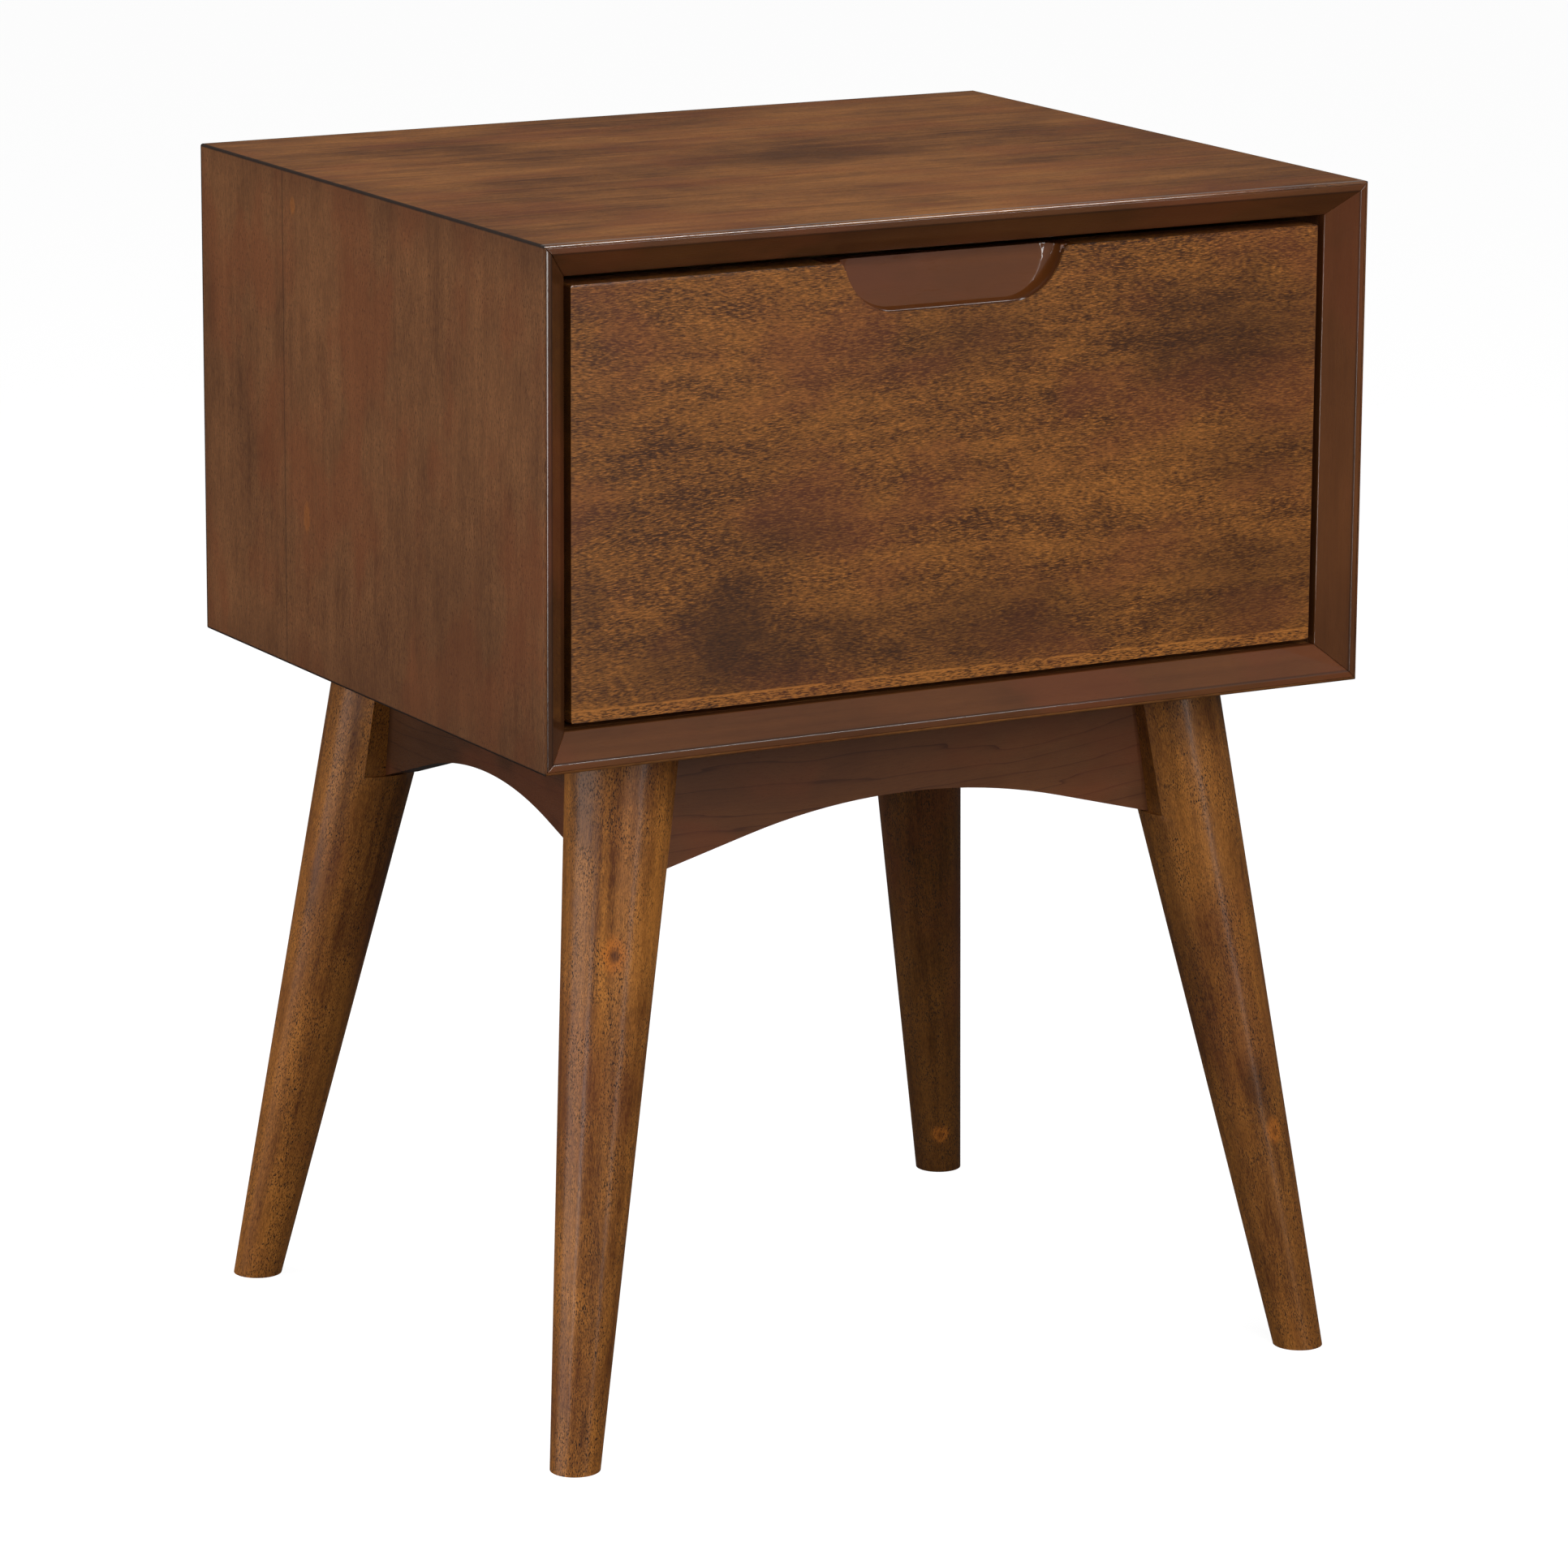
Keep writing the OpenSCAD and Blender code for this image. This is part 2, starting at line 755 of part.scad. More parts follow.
// The finger pull's outline with a cove at the foot of its wall, as deep all over as at the top edge
module coved_pull() {
    flat = pull_w / 2 - pull_r;
    rise = pull_r - pull_h;
    reach = sqrt(pull_r * pull_r - max(0, rise) * max(0, rise));
    translate([-flat, -1, rise]) cube([2 * flat, pull_d + 1, pull_r]);
    for (side = [0, 1]) mirror([side, 0, 0]) translate([flat, 0, rise])
        linear_extrude(pull_r) half_pull_section();
    for (side = [0, 1]) mirror([side, 0, 0]) translate([flat, 0, rise]) rotate([-90, 0, 0])
        rotate_extrude(angle = 90, $fn = 96) half_pull_section();
    translate([-flat, 0, rise]) rotate([0, 90, 0]) linear_extrude(2 * flat) half_pull_section();
    for (side = [0, 1]) mirror([side, 0, 0]) translate([flat + reach, pull_d - pull_cove_r, 0])
        rotate([90, 0, 0]) linear_extrude(pull_d) difference() {
            translate([-1, -pull_flare_r]) square([pull_flare_r + 1, pull_flare_r + 1]);
            translate([pull_flare_r, -pull_flare_r]) circle(r = pull_flare_r);
        }
}

// The hollow of the finger pull
module pull_hollow() {
    translate([0, face_y, front_top]) intersection() {
        coved_pull();
        before_pull_floor();
    }
}

module insert_block(over = 0) {
    translate([-insert_w / 2, face_y + face_t, front_top - insert_h])
        cube([insert_w, front_t - face_t + over, insert_h + over]);
}

module at_front_screws() {
    for (side = [-1, 1], rise = front_screw_rise)
        translate([side * front_screw_x, box_y + box_t, box_z + rise]) rotate([-90, 0, 0]) children();
}

module drawer_front() {
    color(veneer) difference() {
        translate([0, box_y, front_z + front_h / 2]) rotate([90, 0, 0]) linear_extrude(front_t)
            rounded_rect(front_w, front_h, front_corner_r);
        pull_hollow();
        insert_block(over = 1);
        at_front_screws() screw_body(front_screw_l);
    }
}

module pull_insert() {
    color(solid_wood) difference() {
        insert_block();
        pull_hollow();
    }
}

module bottom_space() {
    w = box_w - 2 * box_t + 2 * groove_d;
    l = box_l - 2 * box_t + 2 * groove_d;
    translate([-w / 2, box_y + box_t - groove_d, box_z + bottom_rise]) cube([w, l, bottom_t]);
}

module box_dowels() {
    inner = box_w / 2 - box_t;
    for (side = [0, 1], y = [box_y + box_t / 2, box_y + box_l - box_t / 2], rise = box_dowel_rise)
        mirror([side, 0, 0]) translate([inner + box_dowel_in_side - box_dowel_l, y, box_z + rise])
            rotate([0, 90, 0]) cylinder(h = box_dowel_l, d = box_dowel_d);
}

module cross_board(y) {
    w = box_w - 2 * box_t;
    translate([-w / 2, y, box_z]) cube([w, box_t, box_h]);
}

module drawer_inner_front() {
    color(box_wood) difference() {
        cross_board(box_y);
        bottom_space();
        box_dowels();
        at_front_screws() screw_body(front_screw_l);
    }
}

module drawer_back() {
    color(box_wood) difference() {
        cross_board(box_y + box_l - box_t);
        bottom_space();
        box_dowels();
    }
}

module left_box_side() {
    difference() {
        translate([-box_w / 2, box_y, box_z]) cube([box_t, box_l, box_h]);
        bottom_space();
        box_dowels();
        at_drawer_rail_screws() screw_body(slide_screw_l);
    }
}

module drawer_left_side() {
    color(box_wood) left_box_side();
}

module drawer_right_side() {
    color(box_wood) mirror([1, 0, 0]) left_box_side();
}

module drawer_bottom() {
    color(box_wood) bottom_space();
}

module drawer_dowels() {
    color(beech) box_dowels();
}

module drawer_front_screws() {
    color(zinc) at_front_screws() screw(front_screw_l);
}

// ---- Slides, drawn for the left side: x out from the cabinet's side, y up from the slide's middle ----

module on_slide(y, l) {
    translate([-inner_w / 2, y + l, slide_z]) rotate([90, 0, 0]) linear_extrude(l) children();
}

// A channel that opens towards the drawer: from web to tip, half is half its height
module channel(web, tip, half, t) {
    difference() {
        translate([web, -half]) square([tip - web, 2 * half]);
        translate([web + t, t - half]) square([tip - web, 2 * (half - t)]);
    }
}

module at_slide_screws(x) {
    for (y = slide_screw_y) translate([x, slide_y + y, slide_z]) children();
}

module at_cabinet_rail_screws() {
    at_slide_screws(-inner_w / 2 + outer_web) rotate([0, 90, 0]) children();
}

module at_drawer_rail_screws() {
    at_slide_screws(-box_w / 2 - steel_t) rotate([0, -90, 0]) children();
}

module cabinet_rail() {
    difference() {
        on_slide(slide_y, slide_l) difference() {
            translate([0, -slide_h / 2]) square([outer_flange, slide_h]);
            translate([steel_t, -outer_in]) square([outer_flange - 2 * steel_t, 2 * outer_in]);
            translate([steel_t, rail_lip_t - outer_in])
                square([outer_flange, 2 * (outer_in - rail_lip_t)]);
        }
        at_cabinet_rail_screws() screw_body(slide_screw_l);
    }
}

module middle_rail() {
    on_slide(slide_y, slide_l) channel(mid_web, mid_flange, mid_out, steel_t);
}

module drawer_rail() {
    difference() {
        on_slide(slide_y, slide_l) difference() {
            translate([drawer_tip, -drawer_out]) square([slide_t - drawer_tip, 2 * drawer_out]);
            translate([drawer_tip - 1, steel_t - drawer_out])
                square([slide_t - steel_t - drawer_tip + 1, 2 * (drawer_out - steel_t)]);
        }
        at_drawer_rail_screws() screw_body(slide_screw_l);
    }
}

module ball_cage(web, tip, row, ball_x, ball_d) {
    pitch = cage_l / cage_balls;
    on_slide(cage_y, cage_l) channel(web, tip, row + cage_t / 2, cage_t);
    for (side = [-1, 1], n = [0 : cage_balls - 1])
        translate([-inner_w / 2 + ball_x, cage_y + (n + 0.5) * pitch, slide_z + side * row])
            sphere(d = ball_d, $fn = 24);
}

module outer_cage() {
    ball_cage(outer_cage_web, outer_cage_tip, outer_row, outer_ball_x, outer_ball_d);
}

module inner_cage() {
    ball_cage(inner_cage_web, inner_cage_tip, inner_row, inner_ball_x, inner_ball_d);
}

module left_cabinet_rail() {
    color(zinc) cabinet_rail();
}

module right_cabinet_rail() {
    color(zinc) mirror([1, 0, 0]) cabinet_rail();
}

module left_middle_rail() {
    color(zinc) middle_rail();
}

module right_middle_rail() {
    color(zinc) mirror([1, 0, 0]) middle_rail();
}

module left_drawer_rail() {
    color(zinc) drawer_rail();
}

module right_drawer_rail() {
    color(zinc) mirror([1, 0, 0]) drawer_rail();
}

module left_outer_cage() {
    color(zinc) outer_cage();
}

module right_outer_cage() {
    color(zinc) mirror([1, 0, 0]) outer_cage();
}

module left_inner_cage() {
    color(zinc) inner_cage();
}

module right_inner_cage() {
    color(zinc) mirror([1, 0, 0]) inner_cage();
}

module cabinet_rail_screws() {
    color(zinc) both_sides() at_cabinet_rail_screws() screw(slide_screw_l);
}

module drawer_rail_screws() {
    color(zinc) both_sides() at_drawer_rail_screws() screw(slide_screw_l);
}

top_panel();
bottom_panel();
left_panel();
right_panel();
back_panel();
top_trim();
bottom_trim();
left_trim();
right_trim();
mitre_splines();
back_screws();
front_left_leg();
front_right_leg();
back_left_leg();
back_right_leg();
front_apron();
back_apron();
left_apron();
right_apron();
apron_dowels();
front_left_block();
front_right_block();
back_left_block();
back_right_block();
hanger_bolts();
bolt_washers();
bolt_nuts();
block_screws();
base_screws();
drawer_front();
pull_insert();
drawer_inner_front();
drawer_left_side();
drawer_right_side();
drawer_back();
drawer_bottom();
drawer_dowels();
drawer_front_screws();
left_cabinet_rail();
right_cabinet_rail();
left_middle_rail();
right_middle_rail();
left_drawer_rail();
right_drawer_rail();
left_outer_cage();
right_outer_cage();
left_inner_cage();
right_inner_cage();
cabinet_rail_screws();
drawer_rail_screws();
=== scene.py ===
"""Bedside table with a drawer: finishes, softened edges, studio and camera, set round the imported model."""
import math
from dataclasses import dataclass, replace

import bmesh
import bpy
from bpy.props import FloatProperty, FloatVectorProperty, PointerProperty
from mathutils import Matrix, Vector


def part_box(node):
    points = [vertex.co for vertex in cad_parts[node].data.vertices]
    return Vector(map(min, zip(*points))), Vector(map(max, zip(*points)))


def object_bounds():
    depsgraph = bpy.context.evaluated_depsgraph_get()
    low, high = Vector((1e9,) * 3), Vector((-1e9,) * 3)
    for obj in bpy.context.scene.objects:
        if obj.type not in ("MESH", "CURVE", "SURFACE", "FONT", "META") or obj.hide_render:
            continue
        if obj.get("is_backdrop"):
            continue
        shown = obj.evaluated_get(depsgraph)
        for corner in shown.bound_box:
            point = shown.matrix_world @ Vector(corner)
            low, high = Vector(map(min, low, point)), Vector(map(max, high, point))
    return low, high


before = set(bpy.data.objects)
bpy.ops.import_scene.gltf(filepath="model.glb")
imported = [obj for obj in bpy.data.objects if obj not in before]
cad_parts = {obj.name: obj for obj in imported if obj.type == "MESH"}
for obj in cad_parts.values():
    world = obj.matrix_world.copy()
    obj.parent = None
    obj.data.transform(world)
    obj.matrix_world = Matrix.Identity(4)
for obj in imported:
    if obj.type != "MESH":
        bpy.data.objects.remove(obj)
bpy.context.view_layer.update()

bl_info = {
    "name": "Bedside Table",
    "version": (1, 0, 0),
    "blender": (4, 5, 0),
    "location": "View3D > Sidebar > Table",
    "description": "Finishes a bedside table's packed model and sets it in a studio",
    "category": "Object",
}

MM = 0.001
X = Vector((1, 0, 0))
Y = Vector((0, 1, 0))
Z = Vector((0, 0, 1))

PANELS = ("top_panel", "bottom_panel", "left_panel", "right_panel")
CORNERS = ("front_left", "front_right", "back_left", "back_right")
HANDS = ("left", "right")
# From a leg's axis out to its foot's edge, and in to the flats at its head
FOOT_REACH = 13.6 * MM
HEAD_REACH = 24.6 * MM
# From the left board's back edge to the seam in its veneer, and how wide a dark line is: the stain in a seam,
# and the painted shade along the front trim's rim
SEAM_PLACE = 106 * MM
SEAM_AND_SHADE_LINE_WIDTH = 0.9 * MM
# The drawer front's lower edge is sanded lighter up to this height
SANDED_HEIGHT = 6 * MM
# How deep into the wood the front arrises are rubbed to a shine
TOP_RUBBED = 3 * MM
FRONT_RUBBED = 1 * MM
# Edges that turn by more than this are rounded, in degrees
SHARP_TURN = 28

# Knots and dark clouds in the legs. For each: its share of the way up, its direction and distance out from
# the leg's axis, half its length, half its width, its strength, and whether it is a knot
KNOTS = {
    "front_left": (
        (0.715, Vector((-0.40, -1.0, 0)), 24 * MM, 13 * MM, 9 * MM, 1.0, True),
        (0.93, Vector((-0.9, -0.4, 0)), 26 * MM, 45 * MM, 14 * MM, 0.75, False),
        (0.198, Vector((-0.6, -0.8, 0)), 15 * MM, 3.5 * MM, 2.5 * MM, 0.9, False),
        (0.07, Vector((-0.3, -1.0, 0)), 14 * MM, 12 * MM, 3 * MM, 0.5, False),
    ),
    "front_right": (
        (0.40, Vector((-0.2, -1.0, 0)), 20 * MM, 26 * MM, 12 * MM, 0.7, False),
        (0.33, Vector((0.1, -1.0, 0)), 20 * MM, 10 * MM, 7 * MM, 0.7, True),
    ),
    "back_left": ((0.62, Vector((-1.0, -0.4, 0)), 22 * MM, 40 * MM, 12 * MM, 0.4, False),),
    "back_right": ((0.066, Vector((-0.4, -1.0, 0)), 15 * MM, 8 * MM, 7 * MM, 0.7, True),),
}
# Dark clouds in the drawer front. For each: its middle's distance from the left end and from the lower edge,
# half its length, half its height and its strength
DRAWER_CLOUDS = (
    (0.095, 0.045, 0.034, 0.050, 0.55),
    (0.125, 0.085, 0.050, 0.024, 0.35),
    (0.100, 0.025, 0.130, 0.040, 0.60),
    (0.250, 0.030, 0.120, 0.040, 0.50),
    (0.410, 0.035, 0.090, 0.045, 0.45),
    (0.400, 0.175, 0.110, 0.050, 0.55),
    (0.240, 0.185, 0.080, 0.030, 0.40),
    (0.420, 0.105, 0.080, 0.035, 0.35),
    (0.020, 0.165, 0.026, 0.010, 0.30),
    (0.012, 0.060, 0.014, 0.030, 0.35),
)
# Painted shade: brightness of the wood in the pieces that get weaker light, as a share of the wood's own
# brightness
PAINTED_SHADE = {
    "left_trim": 0.5, "top_trim": 0.8, "front_right_leg": 0.82, "back_right_leg": 0.36,
    "left_apron": 0.5, "right_apron": 0.5,
}
# For each light: its name, its width and height, and where it stands, as the azimuth, elevation and distance
# from the table's middle
LIGHTS = {
    "front": ("Front light", 1.3, 1.5, -4, 24, 2.6),
    "strip": ("Leg light", 0.3, 0.9, 13, -1, 2.4),
    "side": ("Side light", 1.8, 1.8, -99, 8, 2.4),
    "pull": ("Pull light", 0.09, 0.3, -68, -4, 1.6),
    "top": ("Top light", 1.4, 1.4, -110, 70, 2.4),
    "spark": ("Small light", 0.7, 0.3, 30, 38, 2.6),
}


# ---- Settings that a user would change ----

def colour(name, description, default):
    return FloatVectorProperty(
        name=name, description=description, default=default, subtype="COLOR", size=3, min=0, max=1
    )


def length(name, description, default):
    return FloatProperty(
        name=name, description=description, default=default, min=0, subtype="DISTANCE", unit="LENGTH"
    )


def share(name, description, default):
    return FloatProperty(name=name, description=description, default=default, min=0, max=1, subtype="FACTOR")


def power(name, description, default):
    return FloatProperty(name=name, description=description, default=default, min=0, unit="POWER")


def angle(name, description, degrees):
    return FloatProperty(
        name=name, description=description, default=math.radians(degrees), subtype="ANGLE", unit="ROTATION"
    )


class WoodSettings(bpy.types.PropertyGroup):
    veneer_light: colour("Veneer, light", "Light grain of the drawer front's veneer", (0.285, 0.104, 0.0180))
    veneer_dark: colour("Veneer, dark", "Dark grain of the drawer front's veneer", (0.040, 0.0125, 0.0038))
    top_light: colour("Top, light", "Light grain of the top board", (0.262, 0.104, 0.029))
    top_dark: colour("Top, dark", "Dark grain of the top board", (0.062, 0.0215, 0.0075))
    side_light: colour("Sides, light", "Light grain of the side boards", (0.200, 0.084, 0.032))
    side_dark: colour("Sides, dark", "Dark grain of the side boards", (0.070, 0.027, 0.0115))
    trim_light: colour("Trim, light", "Light grain of the front trim", (0.160, 0.055, 0.0155))
    trim_dark: colour("Trim, dark", "Dark grain of the front trim", (0.066, 0.022, 0.0072))
    pull_light: colour("Pull, light", "Light grain of the finger pull", (0.150, 0.044, 0.0085))
    pull_dark: colour("Pull, dark", "Dark grain of the finger pull", (0.080, 0.023, 0.0048))
    leg_light: colour("Legs, light", "Light grain of the legs", (0.455, 0.172, 0.031))
    leg_dark: colour("Legs, dark", "Dark grain of the legs", (0.095, 0.029, 0.0068))
    apron_light: colour("Aprons, light", "Light grain of the aprons", (0.150, 0.056, 0.0195))
    apron_dark: colour("Aprons, dark", "Dark grain of the aprons", (0.066, 0.023, 0.0100))
    red: colour("Red stain", "Colour of the stain where the wood drinks it in", (0.150, 0.040, 0.014))
    # The dark stain colour also paints the dark reflection on the arrises and the shade line along the front
    # trim's rim
    stain: colour("Dark stain", "Colour of the stain in the pores and along the edges", (0.010, 0.008, 0.007))
    knot: colour("Knots", "Colour round the knots", (0.420, 0.130, 0.017))
    box_light: colour("Drawer box, light", "Light grain of the drawer box", (0.600, 0.420, 0.235))
    box_dark: colour("Drawer box, dark", "Dark grain of the drawer box", (0.420, 0.262, 0.125))
    beech_light: colour("Beech, light", "Light grain of the blocks and dowels", (0.560, 0.370, 0.205))
    beech_dark: colour("Beech, dark", "Dark grain of the blocks and dowels", (0.400, 0.235, 0.115))


class MetalSettings(bpy.types.PropertyGroup):
    rail: colour("Rails", "Colour of the zinc-plated rails", (0.560, 0.575, 0.600))
    screw: colour("Screws", "Colour of the plated screws, bolts, nuts and washers", (0.580, 0.560, 0.500))


class EdgeSettings(bpy.types.PropertyGroup):
    rim: length("Rim", "Width of the flat rim round the front", 5 * MM)
    trim: length("Trim", "Rounding of the front trim's edges", 0.5 * MM)
    front: length("Drawer front", "Rounding of the drawer front's edges", 0.5 * MM)
    pull: length("Finger pull", "Rounding of the finger pull's edges", 0.7 * MM)
    leg: length("Legs", "Rounding of the legs' cut edges", 1.6 * MM)
    apron: length("Aprons", "Rounding of the aprons' edges", 0.9 * MM)
    box: length("Drawer box", "Rounding of the drawer box's edges", 0.8 * MM)


class StudioSettings(bpy.types.PropertyGroup):
    floor: colour("Floor", "Colour of the floor and backdrop", (0.20, 0.20, 0.20))
    floor_glow: share("Floor glow", "Light of the floor's own, which keeps it pale", 0.93)
    front: power("Front light", "Power of the broad light in front", 35.0)
    strip: power("Leg light", "Power of the narrow light that shines along the legs", 6.0)
    side: power("Side light", "Power of the tall light on the left", 34.0)
    pull: power("Pull light", "Power of the small light that shines in the finger pull's cove", 2.4)
    top: power("Top light", "Power of the light overhead", 36.0)
    spark: power("Small light", "Power of the small light that draws the bright lines on the edges", 11.0)
    sky: share("Above", "Brightness of the room above the table", 0.20)
    ground: share("Below", "Brightness of the room below the table", 0.05)
    azimuth: angle("Azimuth", "Direction of the camera, 0 in front of the table", -29.28)
    elevation: angle("Elevation", "Camera's height above the horizon", 13.286)
    roll: angle("Roll", "Camera's turn about its own line of sight", 0.334)
    distance: length("Distance", "Distance from the camera to the point that it looks at", 3.585)
    aim_left: length("Aim, to the left", "How far left of the table's middle the camera looks", 0.10895)
    aim_height: length("Aim, height", "Height of the point that the camera looks at", 0.3608)
    lens: FloatProperty(
        name="Lens", description="Camera's focal length in millimetres", default=157.25, min=1
    )


# ---- Shader building ----

class Number:
    """A number in a shader. Arithmetic on it adds Math nodes."""

    def __init__(self, shader, socket):
        self.shader = shader
        self.socket = socket

    def maths(self, operation, *values):
        node = self.shader.node("ShaderNodeMath", {"operation": operation}, dict(enumerate(values)))
        return Number(self.shader, node.outputs[0])

    def __add__(self, other):
        return self.maths("ADD", self, other)

    def __sub__(self, other):
        return self.maths("SUBTRACT", self, other)

    def __rsub__(self, other):
        return self.maths("SUBTRACT", other, self)

    def __mul__(self, other):
        return self.maths("MULTIPLY", self, other)

    def __truediv__(self, other):
        return self.maths("DIVIDE", self, other)

    def __pow__(self, other):
        return self.maths("POWER", self, other)

    __radd__ = __add__
    __rmul__ = __mul__

    def size(self):
        return self.maths("ABSOLUTE", self)

    def fraction(self):
        return self.maths("FRACT", self)

    def least(self, other):
        return self.maths("MINIMUM", self, other)

    def most(self, other):
        return self.maths("MAXIMUM", self, other)

    def root(self):
        return self.maths("SQRT", self)

    def ramp(self, low, high):
        """0 up to low, 1 from high, and smooth between them."""
        node = self.shader.node(
            "ShaderNodeMapRange", {"interpolation_type": "SMOOTHSTEP"}, {0: self, 1: low, 2: high}
        )
        return Number(self.shader, node.outputs[0])


class Shader:
    """A material and the nodes it is made of."""

    def __init__(self, name, blocks=bpy.data.materials):
        self.material = blocks.new(name)
        self.material.use_nodes = True
        self.tree = self.material.node_tree
        self.tree.nodes.clear()

    def node(self, kind, settings, inputs):
        """Adds a node: its settings first, then the values or links of its sockets."""
        node = self.tree.nodes.new(kind)
        for name, value in settings.items():
            setattr(node, name, value)
        for name, value in inputs.items():
            self.connect(value, node.inputs[name])
        return node

    def connect(self, value, socket):
        if isinstance(value, Number):
            value = value.socket
        if isinstance(value, bpy.types.NodeSocket):
            self.tree.links.new(value, socket)
        elif socket.type == "RGBA":
            socket.default_value = (*value, 1)
        else:
            socket.default_value = value

    def place(self):
        """The point that is shaded, in the piece's own space."""
        return self.node("ShaderNodeTexCoord", {}, {}).outputs["Object"]

    def reach(self, point, direction, start=Vector()):
        """How far point lies along a direction, measured from start."""
        node = self.node("ShaderNodeVectorMath", {"operation": "DOT_PRODUCT"}, {0: point, 1: direction})
        return Number(self, node.outputs["Value"]) - direction.dot(start)

    def point(self, x, y, z):
        return self.node("ShaderNodeCombineXYZ", {}, {0: x, 1: y, 2: z}).outputs[0]

    def noise(self, point, detail=2.0, roughness=0.5):
        """Noise about 0.5, with features about two units long."""
        node = self.node(
            "ShaderNodeTexNoise", {"normalize": True},
            {"Vector": point, "Scale": 1.0, "Detail": detail, "Roughness": roughness}
        )
        return Number(self, node.outputs[0])

    def mix(self, amount, first, second):
        """Goes from the first colour to the second as amount goes from 0 to 1."""
        node = self.node(
            "ShaderNodeMix", {"data_type": "RGBA", "clamp_factor": True}, {0: amount, 6: first, 7: second}
        )
        return node.outputs[2]

    def bump(self, height, distance):
        """Normal of a surface whose height of 1 is distance in metres."""
        node = self.node("ShaderNodeBump", {}, {"Height": height, "Distance": distance, "Strength": 1.0})
        return node.outputs["Normal"]

    def finish(self, **inputs):
        """Ends the material in one principled shader with these sockets, spaces written as underscores."""
        named = {name.replace("_", " "): value for name, value in inputs.items()}
        shader = self.node("ShaderNodeBsdfPrincipled", {}, named)
        self.node("ShaderNodeOutputMaterial", {}, {"Surface": shader.outputs[0]})
        return self.material


# ---- Finishes ----

def brighter(tint, amount):
    """A colour at amount times its brightness."""
    return [min(1, channel * amount) for channel in tint]


@dataclass
class Wood:
    """How one kind of wood looks. Lengths are in metres, and a run is a length along the grain."""

    light: tuple
    dark: tuple
    # Growth bands, soft clouds, mottling, and the short dashes of the fibres
    band: float = 8 * MM
    band_run: float = 0.35
    bands: float = 0.9
    cloud: float = 1.0
    mottle: float = 0.7
    dash: float = 1.0
    dash_run: float = 6 * MM
    dash_width: float = 0.8 * MM
    # Dark pores, of which a smaller gap leaves more, and light flecks that are painted highlights
    pores: float = 0.4
    pore_run: float = 3 * MM
    pore_width: float = 0.5 * MM
    pore_gap: float = 0.57
    glint_flecks: float = 0.0
    # Red stain, thin dark growth lines, and how far the grain wanders
    reds: float = 0.3
    rings: float = 0.0
    ring_gap: float = 14 * MM
    wander: float = 14 * MM
    # Darkening near the board's edges, and the width of the nearly black line of painted dark reflection on
    # its arrises
    edge_darkening: float = 0.0
    edge: float = 0.0
    # Lacquer
    rough: float = 0.45
    shine: float = 0.25
    coat: float = 0.05
    coat_rough: float = 0.25
    coat_depth: float = 1.5

    def shaded_for(self, node):
        """The same wood, dimmed by the painted shade of the node's piece."""
        amount = PAINTED_SHADE.get(node, 1)
        return replace(self, light=brighter(self.light, amount), dark=brighter(self.dark, amount))


@dataclass
class Spot:
    """A soft patch in the wood: a dark cloud, or a knot that the grain swings round."""

    place: Vector
    run: float
    width: float
    strength: float = 0.7
    knot: bool = False


